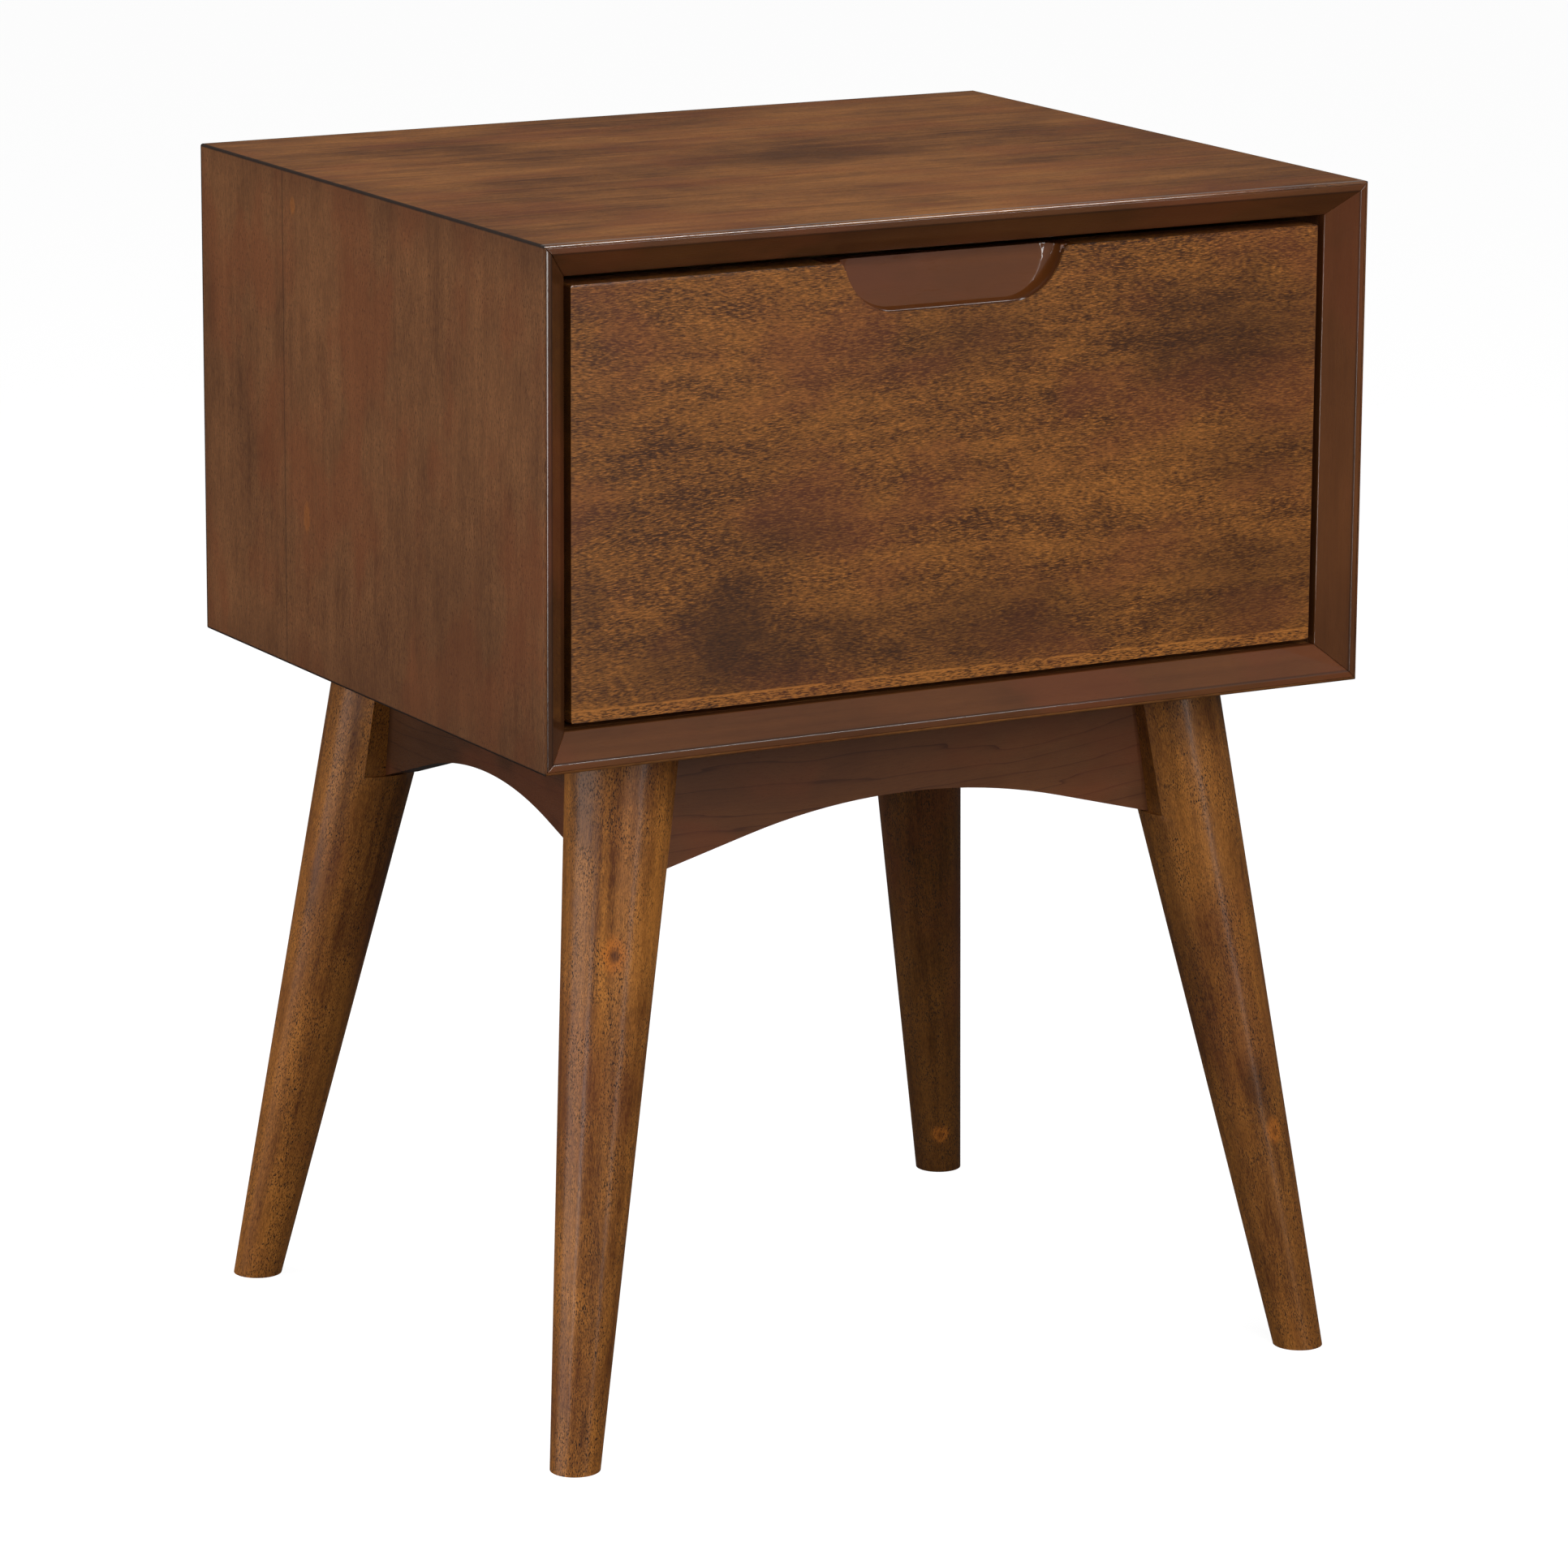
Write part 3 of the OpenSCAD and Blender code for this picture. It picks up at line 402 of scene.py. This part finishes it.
class Timber(Shader):
    """The shader of one piece of wood: the patterns in its grain, and its skin, which each method adds to.

    start sets which part of the tree the piece comes from.
    """

    def __init__(self, name, look, along, across, start, spots):
        super().__init__(name)
        self.look = look
        self.settings = bpy.context.scene.table_wood
        self.axes = (along, across, along.cross(across))
        self.here = self.place()
        u, v, w = (self.reach(self.here, axis) for axis in self.axes)
        ragged = self.noise(self.point(u / 0.02, v / 0.012, w / 0.012 + start), 3, 0.6)
        swing = self.noise(self.point(u / 0.30 + start, v / 0.09, w / 0.09))
        lane = v + (swing - 0.5) * look.wander
        self.patches = []
        for spot in spots:
            near, aside = self.nearness(spot, ragged)
            self.patches.append((spot, near))
            if spot.knot:
                lane = lane + near.most(0) * near.most(0) * aside * spot.width * 0.7
        self.lane = lane
        self.bands = self.noise(
            self.point(u / look.band_run, lane / look.band, w / look.band + start), 3, 0.6
        )
        self.cloud = self.noise(self.point(u / 0.15, lane / 0.07 + start, w / 0.07), 2, 0.55)
        self.mottle = self.noise(self.point(u / 0.028, lane / 0.013 + start, w / 0.013), 3, 0.6)
        self.dash = self.noise(
            self.point(u / look.dash_run, lane / look.dash_width, w / look.dash_width + start), 2, 0.6
        )
        self.redness = self.noise(self.point(u / 0.09, lane / 0.05 + start * 2, w / 0.05), 3, 0.55)
        pore = self.noise(self.point(u / look.pore_run, lane / look.pore_width, w / look.pore_width), 1)
        self.pore = (
            pore.ramp(look.pore_gap, look.pore_gap + 0.1) * (self.mottle.ramp(0.35, 0.62) * 0.65 + 0.35)
        )
        self.skin = self.mix(self.tone(), look.dark, look.light)

    def nearness(self, spot, ragged):
        """1 in the middle of a spot and 0 at its ragged rim, and how many half widths aside of its middle."""
        spans = (spot.run, spot.width, spot.width)
        along, aside, deep = (
            self.reach(self.here, axis, spot.place) / span for axis, span in zip(self.axes, spans)
        )
        near = 1 - (along * along + aside * aside + deep * deep).root() + (ragged - 0.5) * 0.9
        return near, aside

    def tone(self):
        """0 in the dark grain and 1 in the light."""
        look = self.look
        tone = (
            0.5 + (self.bands - 0.5) * look.bands + (self.cloud - 0.5) * look.cloud
            + (self.mottle - 0.5) * look.mottle + (self.dash - 0.5) * look.dash
        )
        if look.rings:
            # The high power leaves a thin line of each ring
            ring = (self.lane / look.ring_gap + self.bands * 1.6 + self.cloud * 2.4).fraction() ** 20
            tone = tone - ring * look.rings
        return tone

    def cover(self, amount, tint):
        """Lays a colour over the skin."""
        self.skin = self.mix(amount, self.skin, tint)

    def fleck(self):
        """Painted highlights: light flecks, where the fibres turn to face the light."""
        look = self.look
        if look.glint_flecks:
            self.cover(self.dash.ramp(0.56, 0.70) * look.glint_flecks, brighter(look.light, 1.7))

    def stain(self):
        """Red where the wood drank the stain in, then the knots and clouds, and nearly black in the pores."""
        look = self.look
        self.cover(self.redness.ramp(0.46, 0.64) * look.reds, self.settings.red)
        for spot, near in self.patches:
            if spot.knot:
                self.cover(near.ramp(0.0, 0.6) * spot.strength, self.settings.knot)
                self.cover(near.ramp(0.55, 0.95) * (self.dash + 0.4) * spot.strength, look.dark)
            else:
                self.cover(near.ramp(0.0, 0.9) * spot.strength, brighter(look.dark, 0.75))
        self.cover(self.pore * look.pores, self.settings.stain)

    def seam(self, place, direction, width):
        """A dark line through place, with its width along direction: the stain gathered in a veneer seam, and
        on the front trim the painted shade where the rim meets the bevel.
        """
        line = 1 - self.reach(self.here, direction, place).size().ramp(width * 0.25, width)
        self.cover(line * (self.bands * 0.8 + 0.1), self.settings.stain)

    def sand(self, place, inwards, width):
        """A strip from place inwards that sanding has left lighter, with a light line where it ends."""
        deep = self.reach(self.here, inwards, place)
        inside = 1 - deep.ramp(width - 0.2 * MM, width + 0.2 * MM)
        line = 1 - (deep - width).size().ramp(0.3 * MM, 0.8 * MM)
        sanded = brighter(self.look.light, 1.6)
        self.cover(inside * self.dash.ramp(0.42, 0.60) * 0.55, sanded)
        self.cover(line * self.mottle.ramp(0.40, 0.52) * 0.55, sanded)

    def darken_and_shade_edges(self, low, high):
        """Darker towards the edges of a box, and nearly black on its arrises, where a dark reflection is
        painted.
        """
        look = self.look
        depths = []
        for axis, start, end in zip((X, Y, Z), low, high):
            middle = (start + end) / 2
            depths.append((end - start) / 2 - (self.reach(self.here, axis) - middle).size())
        a, b, c = depths
        depth = a.least(b).most(a.most(b).least(c))
        edge_nearness = 1 - (depth + (self.cloud - 0.5) * 0.04).ramp(0.0, 30 * MM)
        self.cover(edge_nearness * look.edge_darkening, look.dark)
        # Painted dark reflection: a nearly black line along the arrises
        self.cover((1 - depth.ramp(look.edge * 0.4, look.edge)) * 0.92, self.settings.stain)

    def rubbed(self, place, inwards, width):
        """1 where an arris is rubbed to a shine: from place as deep into the wood as width."""
        return 1 - self.reach(self.here, inwards, place).ramp(width * 0.6, width)


def wood(name, look, along, across, start, spots=(), seams_and_shade_lines=(), sanded=(), edges=None, polish=None):
    """Stained and lacquered wood.

    A seam and shade line, a sanded strip, the box for the dark edges with their painted arris reflection, and
    the polish are given as Timber's methods take them.
    """
    timber = Timber(name, look, along, across, start, spots)
    timber.fleck()
    timber.stain()
    for seam in seams_and_shade_lines:
        timber.seam(*seam)
    for strip in sanded:
        timber.sand(*strip)
    if edges:
        timber.darken_and_shade_edges(*edges)
    pore = timber.pore
    shine = look.coat
    rough = look.rough + (timber.dash - 0.5) * 0.15 + (timber.mottle - 0.5) * 0.12 + pore * 0.12
    if polish:
        rubbed = timber.rubbed(*polish)
        shine = rubbed * (1 - look.coat) + look.coat
        rough = rough * (1 - rubbed * 0.6)
    height = (timber.dash - 0.5) * 0.7 - pore * 0.9 + (timber.bands - 0.5) * 0.5
    return timber.finish(
        Base_Color=timber.skin,
        Roughness=rough,
        Normal=timber.bump(height, 0.04 * MM),
        Coat_Weight=shine * (1 - pore * 0.6),
        Coat_Roughness=look.coat_rough,
        Coat_IOR=look.coat_depth,
        IOR=1.45,
        Specular_IOR_Level=look.shine,
    )


def plywood(name, along, across, thickness, start):
    """Thin pale plies, with their layers showing on the cut edges."""
    settings = bpy.context.scene.table_wood
    shader = Shader(name)
    place = shader.place()
    through = along.cross(across)
    u = shader.reach(place, along, -along * start)
    v = shader.reach(place, across, -across * start)
    w = shader.reach(place, through)
    ply = (w / thickness * 7 / 2).fraction().ramp(0.44, 0.56)
    swing = shader.noise(shader.point(u / 0.2, v / 0.06, w / 0.2), 2)
    bands = shader.noise(shader.point(u / 0.25, v / (5 * MM) + swing * 4, w / 0.02), 3, 0.6)
    fibre = shader.noise(shader.point(u / 0.012, v / (0.6 * MM), w / (0.6 * MM)), 2, 0.6)
    fleck = fibre.ramp(0.62, 0.75)
    skin = shader.mix(bands * 0.7 + fibre * 0.5 - 0.1, settings.box_dark, settings.box_light)
    skin = shader.mix(ply * 0.35, skin, settings.box_dark)
    skin = shader.mix(fleck * 0.35, skin, brighter(settings.box_dark, 0.45))
    return shader.finish(
        Base_Color=skin,
        Roughness=0.5 + (fibre - 0.5) * 0.15,
        Normal=shader.bump(fibre * 0.5 - ply * 0.4, 0.05 * MM),
        Coat_Weight=0.15,
        Coat_Roughness=0.3,
    )


def plated(name, tint, rough, along, streak):
    """Plated steel, with a little grime on it and drawing marks along it, each about streak long."""
    shader = Shader(name)
    place = shader.place()
    across = Y if abs(along.dot(Y)) < 0.5 else Z
    u = shader.reach(place, along)
    v = shader.reach(place, across)
    w = shader.reach(place, along.cross(across))
    marks = shader.noise(shader.point(u / streak, v / (0.25 * MM), w / (0.25 * MM)), 3, 0.6)
    grime = shader.noise(shader.point(u / 0.02, v / 0.008, w / 0.008), 3, 0.6)
    skin = shader.mix(marks * 0.5 + grime.ramp(0.3, 0.7) * 0.4, brighter(tint, 0.62), tint)
    return shader.finish(
        Base_Color=skin,
        Metallic=1.0,
        Roughness=rough + (marks - 0.5) * 0.2 + (grime - 0.5) * 0.15,
        Normal=shader.bump(marks, 0.02 * MM),
    )


# ---- Edges ----

def soften(node, width, segments=3):
    """Rounds the sharp edges of a CAD node, and leaves its shape as it is."""
    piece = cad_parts[node]
    weld = piece.modifiers.new("Join faces", "WELD")
    weld.merge_threshold = 0.001 * MM
    bevel = piece.modifiers.new("Soft edges", "BEVEL")
    bevel.width = width
    bevel.segments = segments
    bevel.limit_method = "ANGLE"
    bevel.angle_limit = math.radians(SHARP_TURN)
    bevel.use_clamp_overlap = True
    bevel.harden_normals = False
    bevel.miter_outer = "MITER_ARC"
    normals = piece.modifiers.new("Even shading", "WEIGHTED_NORMAL")
    normals.keep_sharp = False
    normals.weight = 50
    piece.data.polygons.foreach_set("use_smooth", [True] * len(piece.data.polygons))


def dress(node, material):
    """Gives a CAD node one material all over."""
    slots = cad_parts[node].data.materials
    slots.clear()
    slots.append(material)


def front_arris(node):
    """A point on a node's upper front arris, and the direction from there into the wood."""
    low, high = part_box(node)
    return Vector((low.x, low.y, high.z)), (Y - Z).normalized()


# ---- Operators ----

class TABLE_OT_cabinet(bpy.types.Operator):
    """Veneers the cabinet's boards and finishes its front trim and back"""

    bl_idname = "table.cabinet"
    bl_label = "Cabinet"

    def execute(self, context):
        tint = context.scene.table_wood
        edge = context.scene.table_edges
        self.boards(tint)
        self.trim(tint, edge)
        low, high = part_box("back_panel")
        dress("back_panel", plywood("back_panel", X, Z, high.y - low.y, 0.4))
        beech = Wood(tint.beech_light, tint.beech_dark, pores=0.3, reds=0.0, rough=0.6)
        dress("mitre_splines", wood("mitre_splines", beech, Y, X, 0.2))
        return {"FINISHED"}

    def boards(self, tint):
        """The grain runs round the cabinet: across the top and up the sides."""
        top = Wood(tint.top_light, tint.top_dark, band=3.2 * MM, band_run=0.09, bands=1.2, cloud=1.4,
                   mottle=0.8, dash=1.2, dash_run=6 * MM, dash_width=0.4 * MM, pores=0.25, reds=0.35,
                   edge_darkening=0.2, edge=1.5 * MM, rough=0.5, shine=0.1, coat=0.02, coat_rough=0.08, coat_depth=2.0)
        side = Wood(tint.side_light, tint.side_dark, band=5 * MM, band_run=0.12, bands=0.6, cloud=1.0,
                    mottle=0.9, dash=1.7, dash_run=4 * MM, dash_width=0.45 * MM, pores=0.5,
                    pore_run=2.5 * MM, pore_width=0.4 * MM, pore_gap=0.55, reds=0.4,
                    edge_darkening=0.4, edge=1.5 * MM, rough=0.55, shine=0.12, coat=0.02)
        top_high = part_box("top_panel")[1]
        left_low, left_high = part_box("left_panel")
        spots = {
            "top_panel": [Spot(top_high - X * 0.22 - Y * 0.19, run=0.11, width=0.045, strength=0.6)],
            "left_panel": [
                Spot(left_low + Y * 0.10 + Z * 0.05, run=0.12, width=0.09, strength=0.35),
                Spot(left_low + Y * 0.282 + Z * 0.086, run=12 * MM, width=5 * MM, strength=0.22, knot=True),
                Spot(left_low + Y * 0.296 + Z * 0.256, run=6 * MM, width=4 * MM, strength=0.3, knot=True),
            ],
        }
        seams_and_shade_lines = {"left_panel": [(left_high - Y * SEAM_PLACE, Y, SEAM_AND_SHADE_LINE_WIDTH)]}
        polish = {"top_panel": (*front_arris("top_panel"), TOP_RUBBED)}
        # The front edges aren't darkened, so the box that is darkened at its edges starts in front of them
        front_free = Y * 0.1
        for number, node in enumerate(PANELS):
            flat = node in ("top_panel", "bottom_panel")
            along, across = (X, Y) if flat else (Z, Y)
            low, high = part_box(node)
            dress(node, wood(
                node, top if flat else side, along, across, 3.7 * (number + 1), spots.get(node, ()),
                seams_and_shade_lines.get(node, ()), edges=(low - front_free, high), polish=polish.get(node)
            ))

    def trim(self, tint, edge):
        """Solid wood, with a line of painted shade where the rim meets the bevel."""
        look = Wood(tint.trim_light, tint.trim_dark, band=10 * MM, bands=0.7, cloud=1.4, mottle=0.4,
                    dash=0.25, dash_run=14 * MM, pores=0.1, reds=0.45, wander=5 * MM, rough=0.4, shine=0.15,
                    coat=0.5, coat_rough=0.05, coat_depth=1.9)
        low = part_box("left_panel")[0]
        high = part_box("right_panel")[1]
        corners = {
            "top_trim": (high, Z), "bottom_trim": (low, -Z), "left_trim": (low, -X), "right_trim": (high, X),
        }
        for number, (node, (corner, outwards)) in enumerate(corners.items()):
            # Painted shade: a dark line along the arris where the rim meets the bevel
            rim = [(corner - outwards * edge.rim, outwards, SEAM_AND_SHADE_LINE_WIDTH)]
            along, across = (X, Z) if outwards.z else (Z, X)
            dress(node, wood(node, look.shaded_for(node), along, across, 5.3 * (number + 2), seams_and_shade_lines=rim))
            soften(node, edge.trim)


class TABLE_OT_legs(bpy.types.Operator):
    """Finishes the turned legs"""

    bl_idname = "table.legs"
    bl_label = "Legs"

    def execute(self, context):
        tint = context.scene.table_wood
        edge = context.scene.table_edges
        look = Wood(tint.leg_light, tint.leg_dark, band=6 * MM, band_run=0.13, bands=1.2, cloud=1.2,
                    mottle=0.9, dash=1.3, dash_run=4 * MM, dash_width=0.5 * MM, pores=0.95, pore_run=1.6 * MM,
                    pore_width=0.4 * MM, pore_gap=0.52, reds=0.3, wander=16 * MM, rough=0.5, shine=0.15,
                    coat=0.28, coat_rough=0.26)
        for number, corner in enumerate(CORNERS):
            node = corner + "_leg"
            foot, head = self.ends(node, corner)
            along = (head - foot).normalized()
            across = along.cross(Y).normalized()
            spots = [
                Spot(foot.lerp(head, height) + turn * radius, run, width, strength, knot)
                for height, turn, radius, run, width, strength, knot in KNOTS.get(corner, ())
            ]
            dress(node, wood(node, look.shaded_for(node), along, across, 6.1 * (number + 1), spots))
            soften(node, edge.leg, segments=4)
        return {"FINISHED"}

    def ends(self, node, corner):
        """Where a leg's axis meets the floor and the cabinet, from the leg's box."""
        low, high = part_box(node)
        foot_x, head_x = (high.x, low.x) if "right" in corner else (low.x, high.x)
        foot_y, head_y = (low.y, high.y) if "front" in corner else (high.y, low.y)
        out = Vector((math.copysign(1, foot_x), math.copysign(1, foot_y), 0))
        foot = Vector((foot_x, foot_y, low.z)) - out * FOOT_REACH
        head = Vector((head_x, head_y, high.z)) + out * HEAD_REACH
        return foot, head


class TABLE_OT_aprons(bpy.types.Operator):
    """Finishes the arched aprons, and their corner blocks and dowels"""

    bl_idname = "table.aprons"
    bl_label = "Aprons"

    def execute(self, context):
        tint = context.scene.table_wood
        edge = context.scene.table_edges
        look = Wood(tint.apron_light, tint.apron_dark, band=14 * MM, band_run=0.20, bands=0.5, cloud=0.8,
                    mottle=0.4, dash=0.45, dash_run=12 * MM, pores=0.12, reds=0.4, rings=0.8,
                    ring_gap=11 * MM, wander=40 * MM, rough=0.42)
        for number, node in enumerate(("front_apron", "back_apron", "left_apron", "right_apron")):
            along = X if number < 2 else Y
            dress(node, wood(node, look.shaded_for(node), along, Z, 4.3 * (number + 1)))
            soften(node, edge.apron)
        beech = Wood(tint.beech_light, tint.beech_dark, mottle=0.4, reds=0.0, rough=0.62, coat=0.0)
        for number, corner in enumerate(CORNERS):
            node = corner + "_block"
            along = (X + Y if corner in ("front_right", "back_left") else X - Y).normalized()
            dress(node, wood(node, beech, along, Z, 7.0 * (number + 1)))
        dress("apron_dowels", wood("apron_dowels", beech, X, Z, 0.9))
        return {"FINISHED"}


class TABLE_OT_fixings(bpy.types.Operator):
    """Plates the screws, bolts, washers and nuts"""

    bl_idname = "table.fixings"
    bl_label = "Fixings"

    def execute(self, context):
        tint = context.scene.table_metal.screw
        diagonal = (X + Y).normalized()
        directions = {
            "back_screws": Y, "hanger_bolts": diagonal, "bolt_washers": diagonal, "bolt_nuts": diagonal,
            "block_screws": X, "base_screws": Z, "drawer_front_screws": Y, "cabinet_rail_screws": X,
            "drawer_rail_screws": X,
        }
        for node, along in directions.items():
            dress(node, plated(node, tint, 0.34, along, streak=2 * MM))
        return {"FINISHED"}


class TABLE_OT_drawer_front(bpy.types.Operator):
    """Veneers the drawer front and finishes its finger pull"""

    bl_idname = "table.drawer_front"
    bl_label = "Drawer Front"

    def execute(self, context):
        tint = context.scene.table_wood
        edge = context.scene.table_edges
        look = Wood(tint.veneer_light, tint.veneer_dark, band=12 * MM, band_run=0.25, bands=0.9, cloud=0.8,
                    mottle=1.1, dash=3.3, dash_run=3.2 * MM, dash_width=0.5 * MM, pores=0.5,
                    pore_run=3 * MM, pore_width=0.45 * MM, glint_flecks=0.6, reds=0.4, wander=26 * MM, rough=0.5,
                    coat=0.08, coat_rough=0.15, coat_depth=2.0)
        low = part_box("drawer_front")[0]
        spots = [
            Spot(low + X * across + Z * up, run, width, strength)
            for across, up, run, width, strength in DRAWER_CLOUDS
        ]
        sanded = [(low, Z, SANDED_HEIGHT)]
        polish = (*front_arris("drawer_front"), FRONT_RUBBED)
        dress("drawer_front", wood("drawer_front", look, X, Z, 1.31, spots, sanded=sanded, polish=polish))
        soften("drawer_front", edge.front)
        pull = Wood(tint.pull_light, tint.pull_dark, band=12 * MM, bands=0.5, cloud=0.9, mottle=0.3,
                    dash=0.25, dash_run=16 * MM, pores=0.06, reds=0.35, wander=6 * MM, rough=0.5, shine=0.08,
                    coat=0.75, coat_rough=0.05, coat_depth=2.0)
        dress("pull_insert", wood("pull_insert", pull, X, Z, 0.83))
        soften("pull_insert", edge.pull)
        return {"FINISHED"}


class TABLE_OT_drawer_box(bpy.types.Operator):
    """Finishes the drawer's box"""

    bl_idname = "table.drawer_box"
    bl_label = "Drawer Box"

    def execute(self, context):
        tint = context.scene.table_wood
        edge = context.scene.table_edges
        boards = {
            "drawer_inner_front": (X, Z), "drawer_back": (X, Z),
            "drawer_left_side": (Y, Z), "drawer_right_side": (Y, Z), "drawer_bottom": (X, Y),
        }
        for number, (node, (along, across)) in enumerate(boards.items()):
            low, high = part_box(node)
            thickness = (high - low).dot(Vector(map(abs, along.cross(across))))
            dress(node, plywood(node, along, across, thickness, 0.3 * (number + 1)))
            if node != "drawer_bottom":
                soften(node, edge.box, segments=2)
        beech = Wood(tint.beech_light, tint.beech_dark, mottle=0.4, reds=0.0, rough=0.6, coat=0.0)
        dress("drawer_dowels", wood("drawer_dowels", beech, X, Z, 0.5))
        return {"FINISHED"}


class TABLE_OT_slides(bpy.types.Operator):
    """Finishes the drawer's slides"""

    bl_idname = "table.slides"
    bl_label = "Slides"

    def execute(self, context):
        tint = context.scene.table_metal.rail
        for hand in HANDS:
            for part in ("cabinet_rail", "middle_rail", "drawer_rail"):
                node = f"{hand}_{part}"
                dress(node, plated(node, tint, 0.36, Y, streak=0.03))
            for part in ("outer_cage", "inner_cage"):
                node = f"{hand}_{part}"
                dress(node, plated(node, tint, 0.22, Y, streak=0.01))
        return {"FINISHED"}


def softbox(name, power, width, height, place, target):
    """A rectangular light that faces target."""
    lamp = bpy.data.lights.new(name, "AREA")
    lamp.shape = "RECTANGLE"
    lamp.size = width
    lamp.size_y = height
    lamp.energy = power
    light = bpy.data.objects.new(name, lamp)
    light.location = place
    light.rotation_euler = (Vector(target) - Vector(place)).to_track_quat("-Z", "Y").to_euler()
    bpy.context.scene.collection.objects.link(light)


def around(azimuth, elevation, distance, centre):
    """A point at a distance from centre. Azimuth 0 is in front of the table, and 90 is to its right."""
    azimuth = math.radians(azimuth)
    elevation = math.radians(elevation)
    flat = math.cos(elevation)
    towards = Vector((flat * math.sin(azimuth), -flat * math.cos(azimuth), math.sin(elevation)))
    return centre + towards * distance


class TABLE_OT_stage(bpy.types.Operator):
    """Sets the floor, the lights and the camera"""

    bl_idname = "table.stage"
    bl_label = "Studio"

    def execute(self, context):
        settings = context.scene.table_studio
        self.floor(settings)
        low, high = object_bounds()
        centre = (low + high) / 2
        for setting, (name, width, height, azimuth, elevation, distance) in LIGHTS.items():
            place = around(azimuth, elevation, distance, centre)
            softbox(name, getattr(settings, setting), width, height, place, centre)
        context.scene.world = self.room(settings)
        context.scene.view_settings.view_transform = "Standard"
        self.camera(context, settings, low)
        return {"FINISHED"}

    def room(self, settings):
        """Soft light from all round, weaker from below."""
        room = Shader("Room", bpy.data.worlds)
        direction = room.node("ShaderNodeTexCoord", {}, {}).outputs["Generated"]
        above = room.reach(direction, Z).ramp(-0.15, 0.15)
        strength = above * (settings.sky - settings.ground) + settings.ground
        light = room.node("ShaderNodeBackground", {}, {"Color": (1, 1, 1), "Strength": strength})
        room.node("ShaderNodeOutputWorld", {}, {"Surface": light.outputs[0]})
        return room.material

    def floor(self, settings):
        """A round floor that runs up into a wall. It stays out of the table's own light."""
        flat, bend, rise, steps, turns = 8.0, 3.0, 6.0, 12, 64
        profile = [(0.0, 0.0)]
        for step in range(steps + 1):
            turn = math.radians(90) * step / steps
            profile.append((flat + bend * math.sin(turn), bend * (1 - math.cos(turn))))
        profile.append((flat + bend, bend + rise))
        shape = bmesh.new()
        verts = [shape.verts.new((radius, 0, height)) for radius, height in profile]
        edges = [shape.edges.new(pair) for pair in zip(verts, verts[1:])]
        bmesh.ops.spin(
            shape, geom=verts + edges, cent=(0, 0, 0), axis=Z, angle=math.radians(360), steps=turns,
            use_merge=True
        )
        bmesh.ops.remove_doubles(shape, verts=shape.verts, dist=MM)
        bmesh.ops.recalc_face_normals(shape, faces=shape.faces)
        bmesh.ops.reverse_faces(shape, faces=shape.faces)
        for face in shape.faces:
            face.smooth = True
        mesh = bpy.data.meshes.new("Floor")
        shape.to_mesh(mesh)
        shape.free()
        floor = bpy.data.objects.new("Floor", mesh)
        floor.data.materials.append(Shader("Floor").finish(
            Base_Color=settings.floor, Roughness=0.9, Specular_IOR_Level=0.0,
            Emission_Color=(1, 1, 1), Emission_Strength=settings.floor_glow
        ))
        floor.visible_diffuse = False
        floor.visible_glossy = False
        bpy.context.scene.collection.objects.link(floor)
        floor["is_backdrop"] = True

    def camera(self, context, settings, low):
        """A camera in front and to the left of the table."""
        lens = bpy.data.cameras.new("Camera")
        lens.lens = settings.lens
        lens.sensor_width = 36
        camera = bpy.data.objects.new("Camera", lens)
        azimuth = settings.azimuth
        flat = math.cos(settings.elevation)
        back = Vector((math.sin(azimuth) * flat, -math.cos(azimuth) * flat, math.sin(settings.elevation)))
        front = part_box("top_panel")[0].y
        aim = Vector((-settings.aim_left, front, low.z + settings.aim_height))
        right = Z.cross(back).normalized()
        up = back.cross(right)
        turn = Matrix((right, up, back)).transposed() @ Matrix.Rotation(settings.roll, 3, "Z")
        camera.matrix_world = Matrix.Translation(aim + back * settings.distance) @ turn.to_4x4()
        context.scene.collection.objects.link(camera)
        context.scene.camera = camera


class TABLE_PT_panel(bpy.types.Panel):
    """Lists the table's steps in the sidebar"""

    bl_idname = "TABLE_PT_panel"
    bl_label = "Bedside Table"
    bl_space_type = "VIEW_3D"
    bl_region_type = "UI"
    bl_category = "Table"

    def draw(self, context):
        for step in STEPS:
            self.layout.operator(step.bl_idname)


STEPS = (
    TABLE_OT_cabinet, TABLE_OT_legs, TABLE_OT_aprons, TABLE_OT_fixings, TABLE_OT_drawer_front,
    TABLE_OT_drawer_box, TABLE_OT_slides, TABLE_OT_stage,
)
SETTINGS = {
    "table_wood": WoodSettings, "table_metal": MetalSettings, "table_edges": EdgeSettings,
    "table_studio": StudioSettings,
}


def register():
    for name, group in SETTINGS.items():
        bpy.utils.register_class(group)
        setattr(bpy.types.Scene, name, PointerProperty(type=group))
    for step in (*STEPS, TABLE_PT_panel):
        bpy.utils.register_class(step)


def unregister():
    for step in (TABLE_PT_panel, *reversed(STEPS)):
        bpy.utils.unregister_class(step)
    for name, group in SETTINGS.items():
        delattr(bpy.types.Scene, name)
        bpy.utils.unregister_class(group)


def main():
    register()
    bpy.ops.table.cabinet()
    bpy.ops.table.legs()
    bpy.ops.table.aprons()
    bpy.ops.table.fixings()
    bpy.ops.table.drawer_front()
    bpy.ops.table.drawer_box()
    bpy.ops.table.slides()
    bpy.ops.table.stage()


if __name__ == "__main__":
    main()
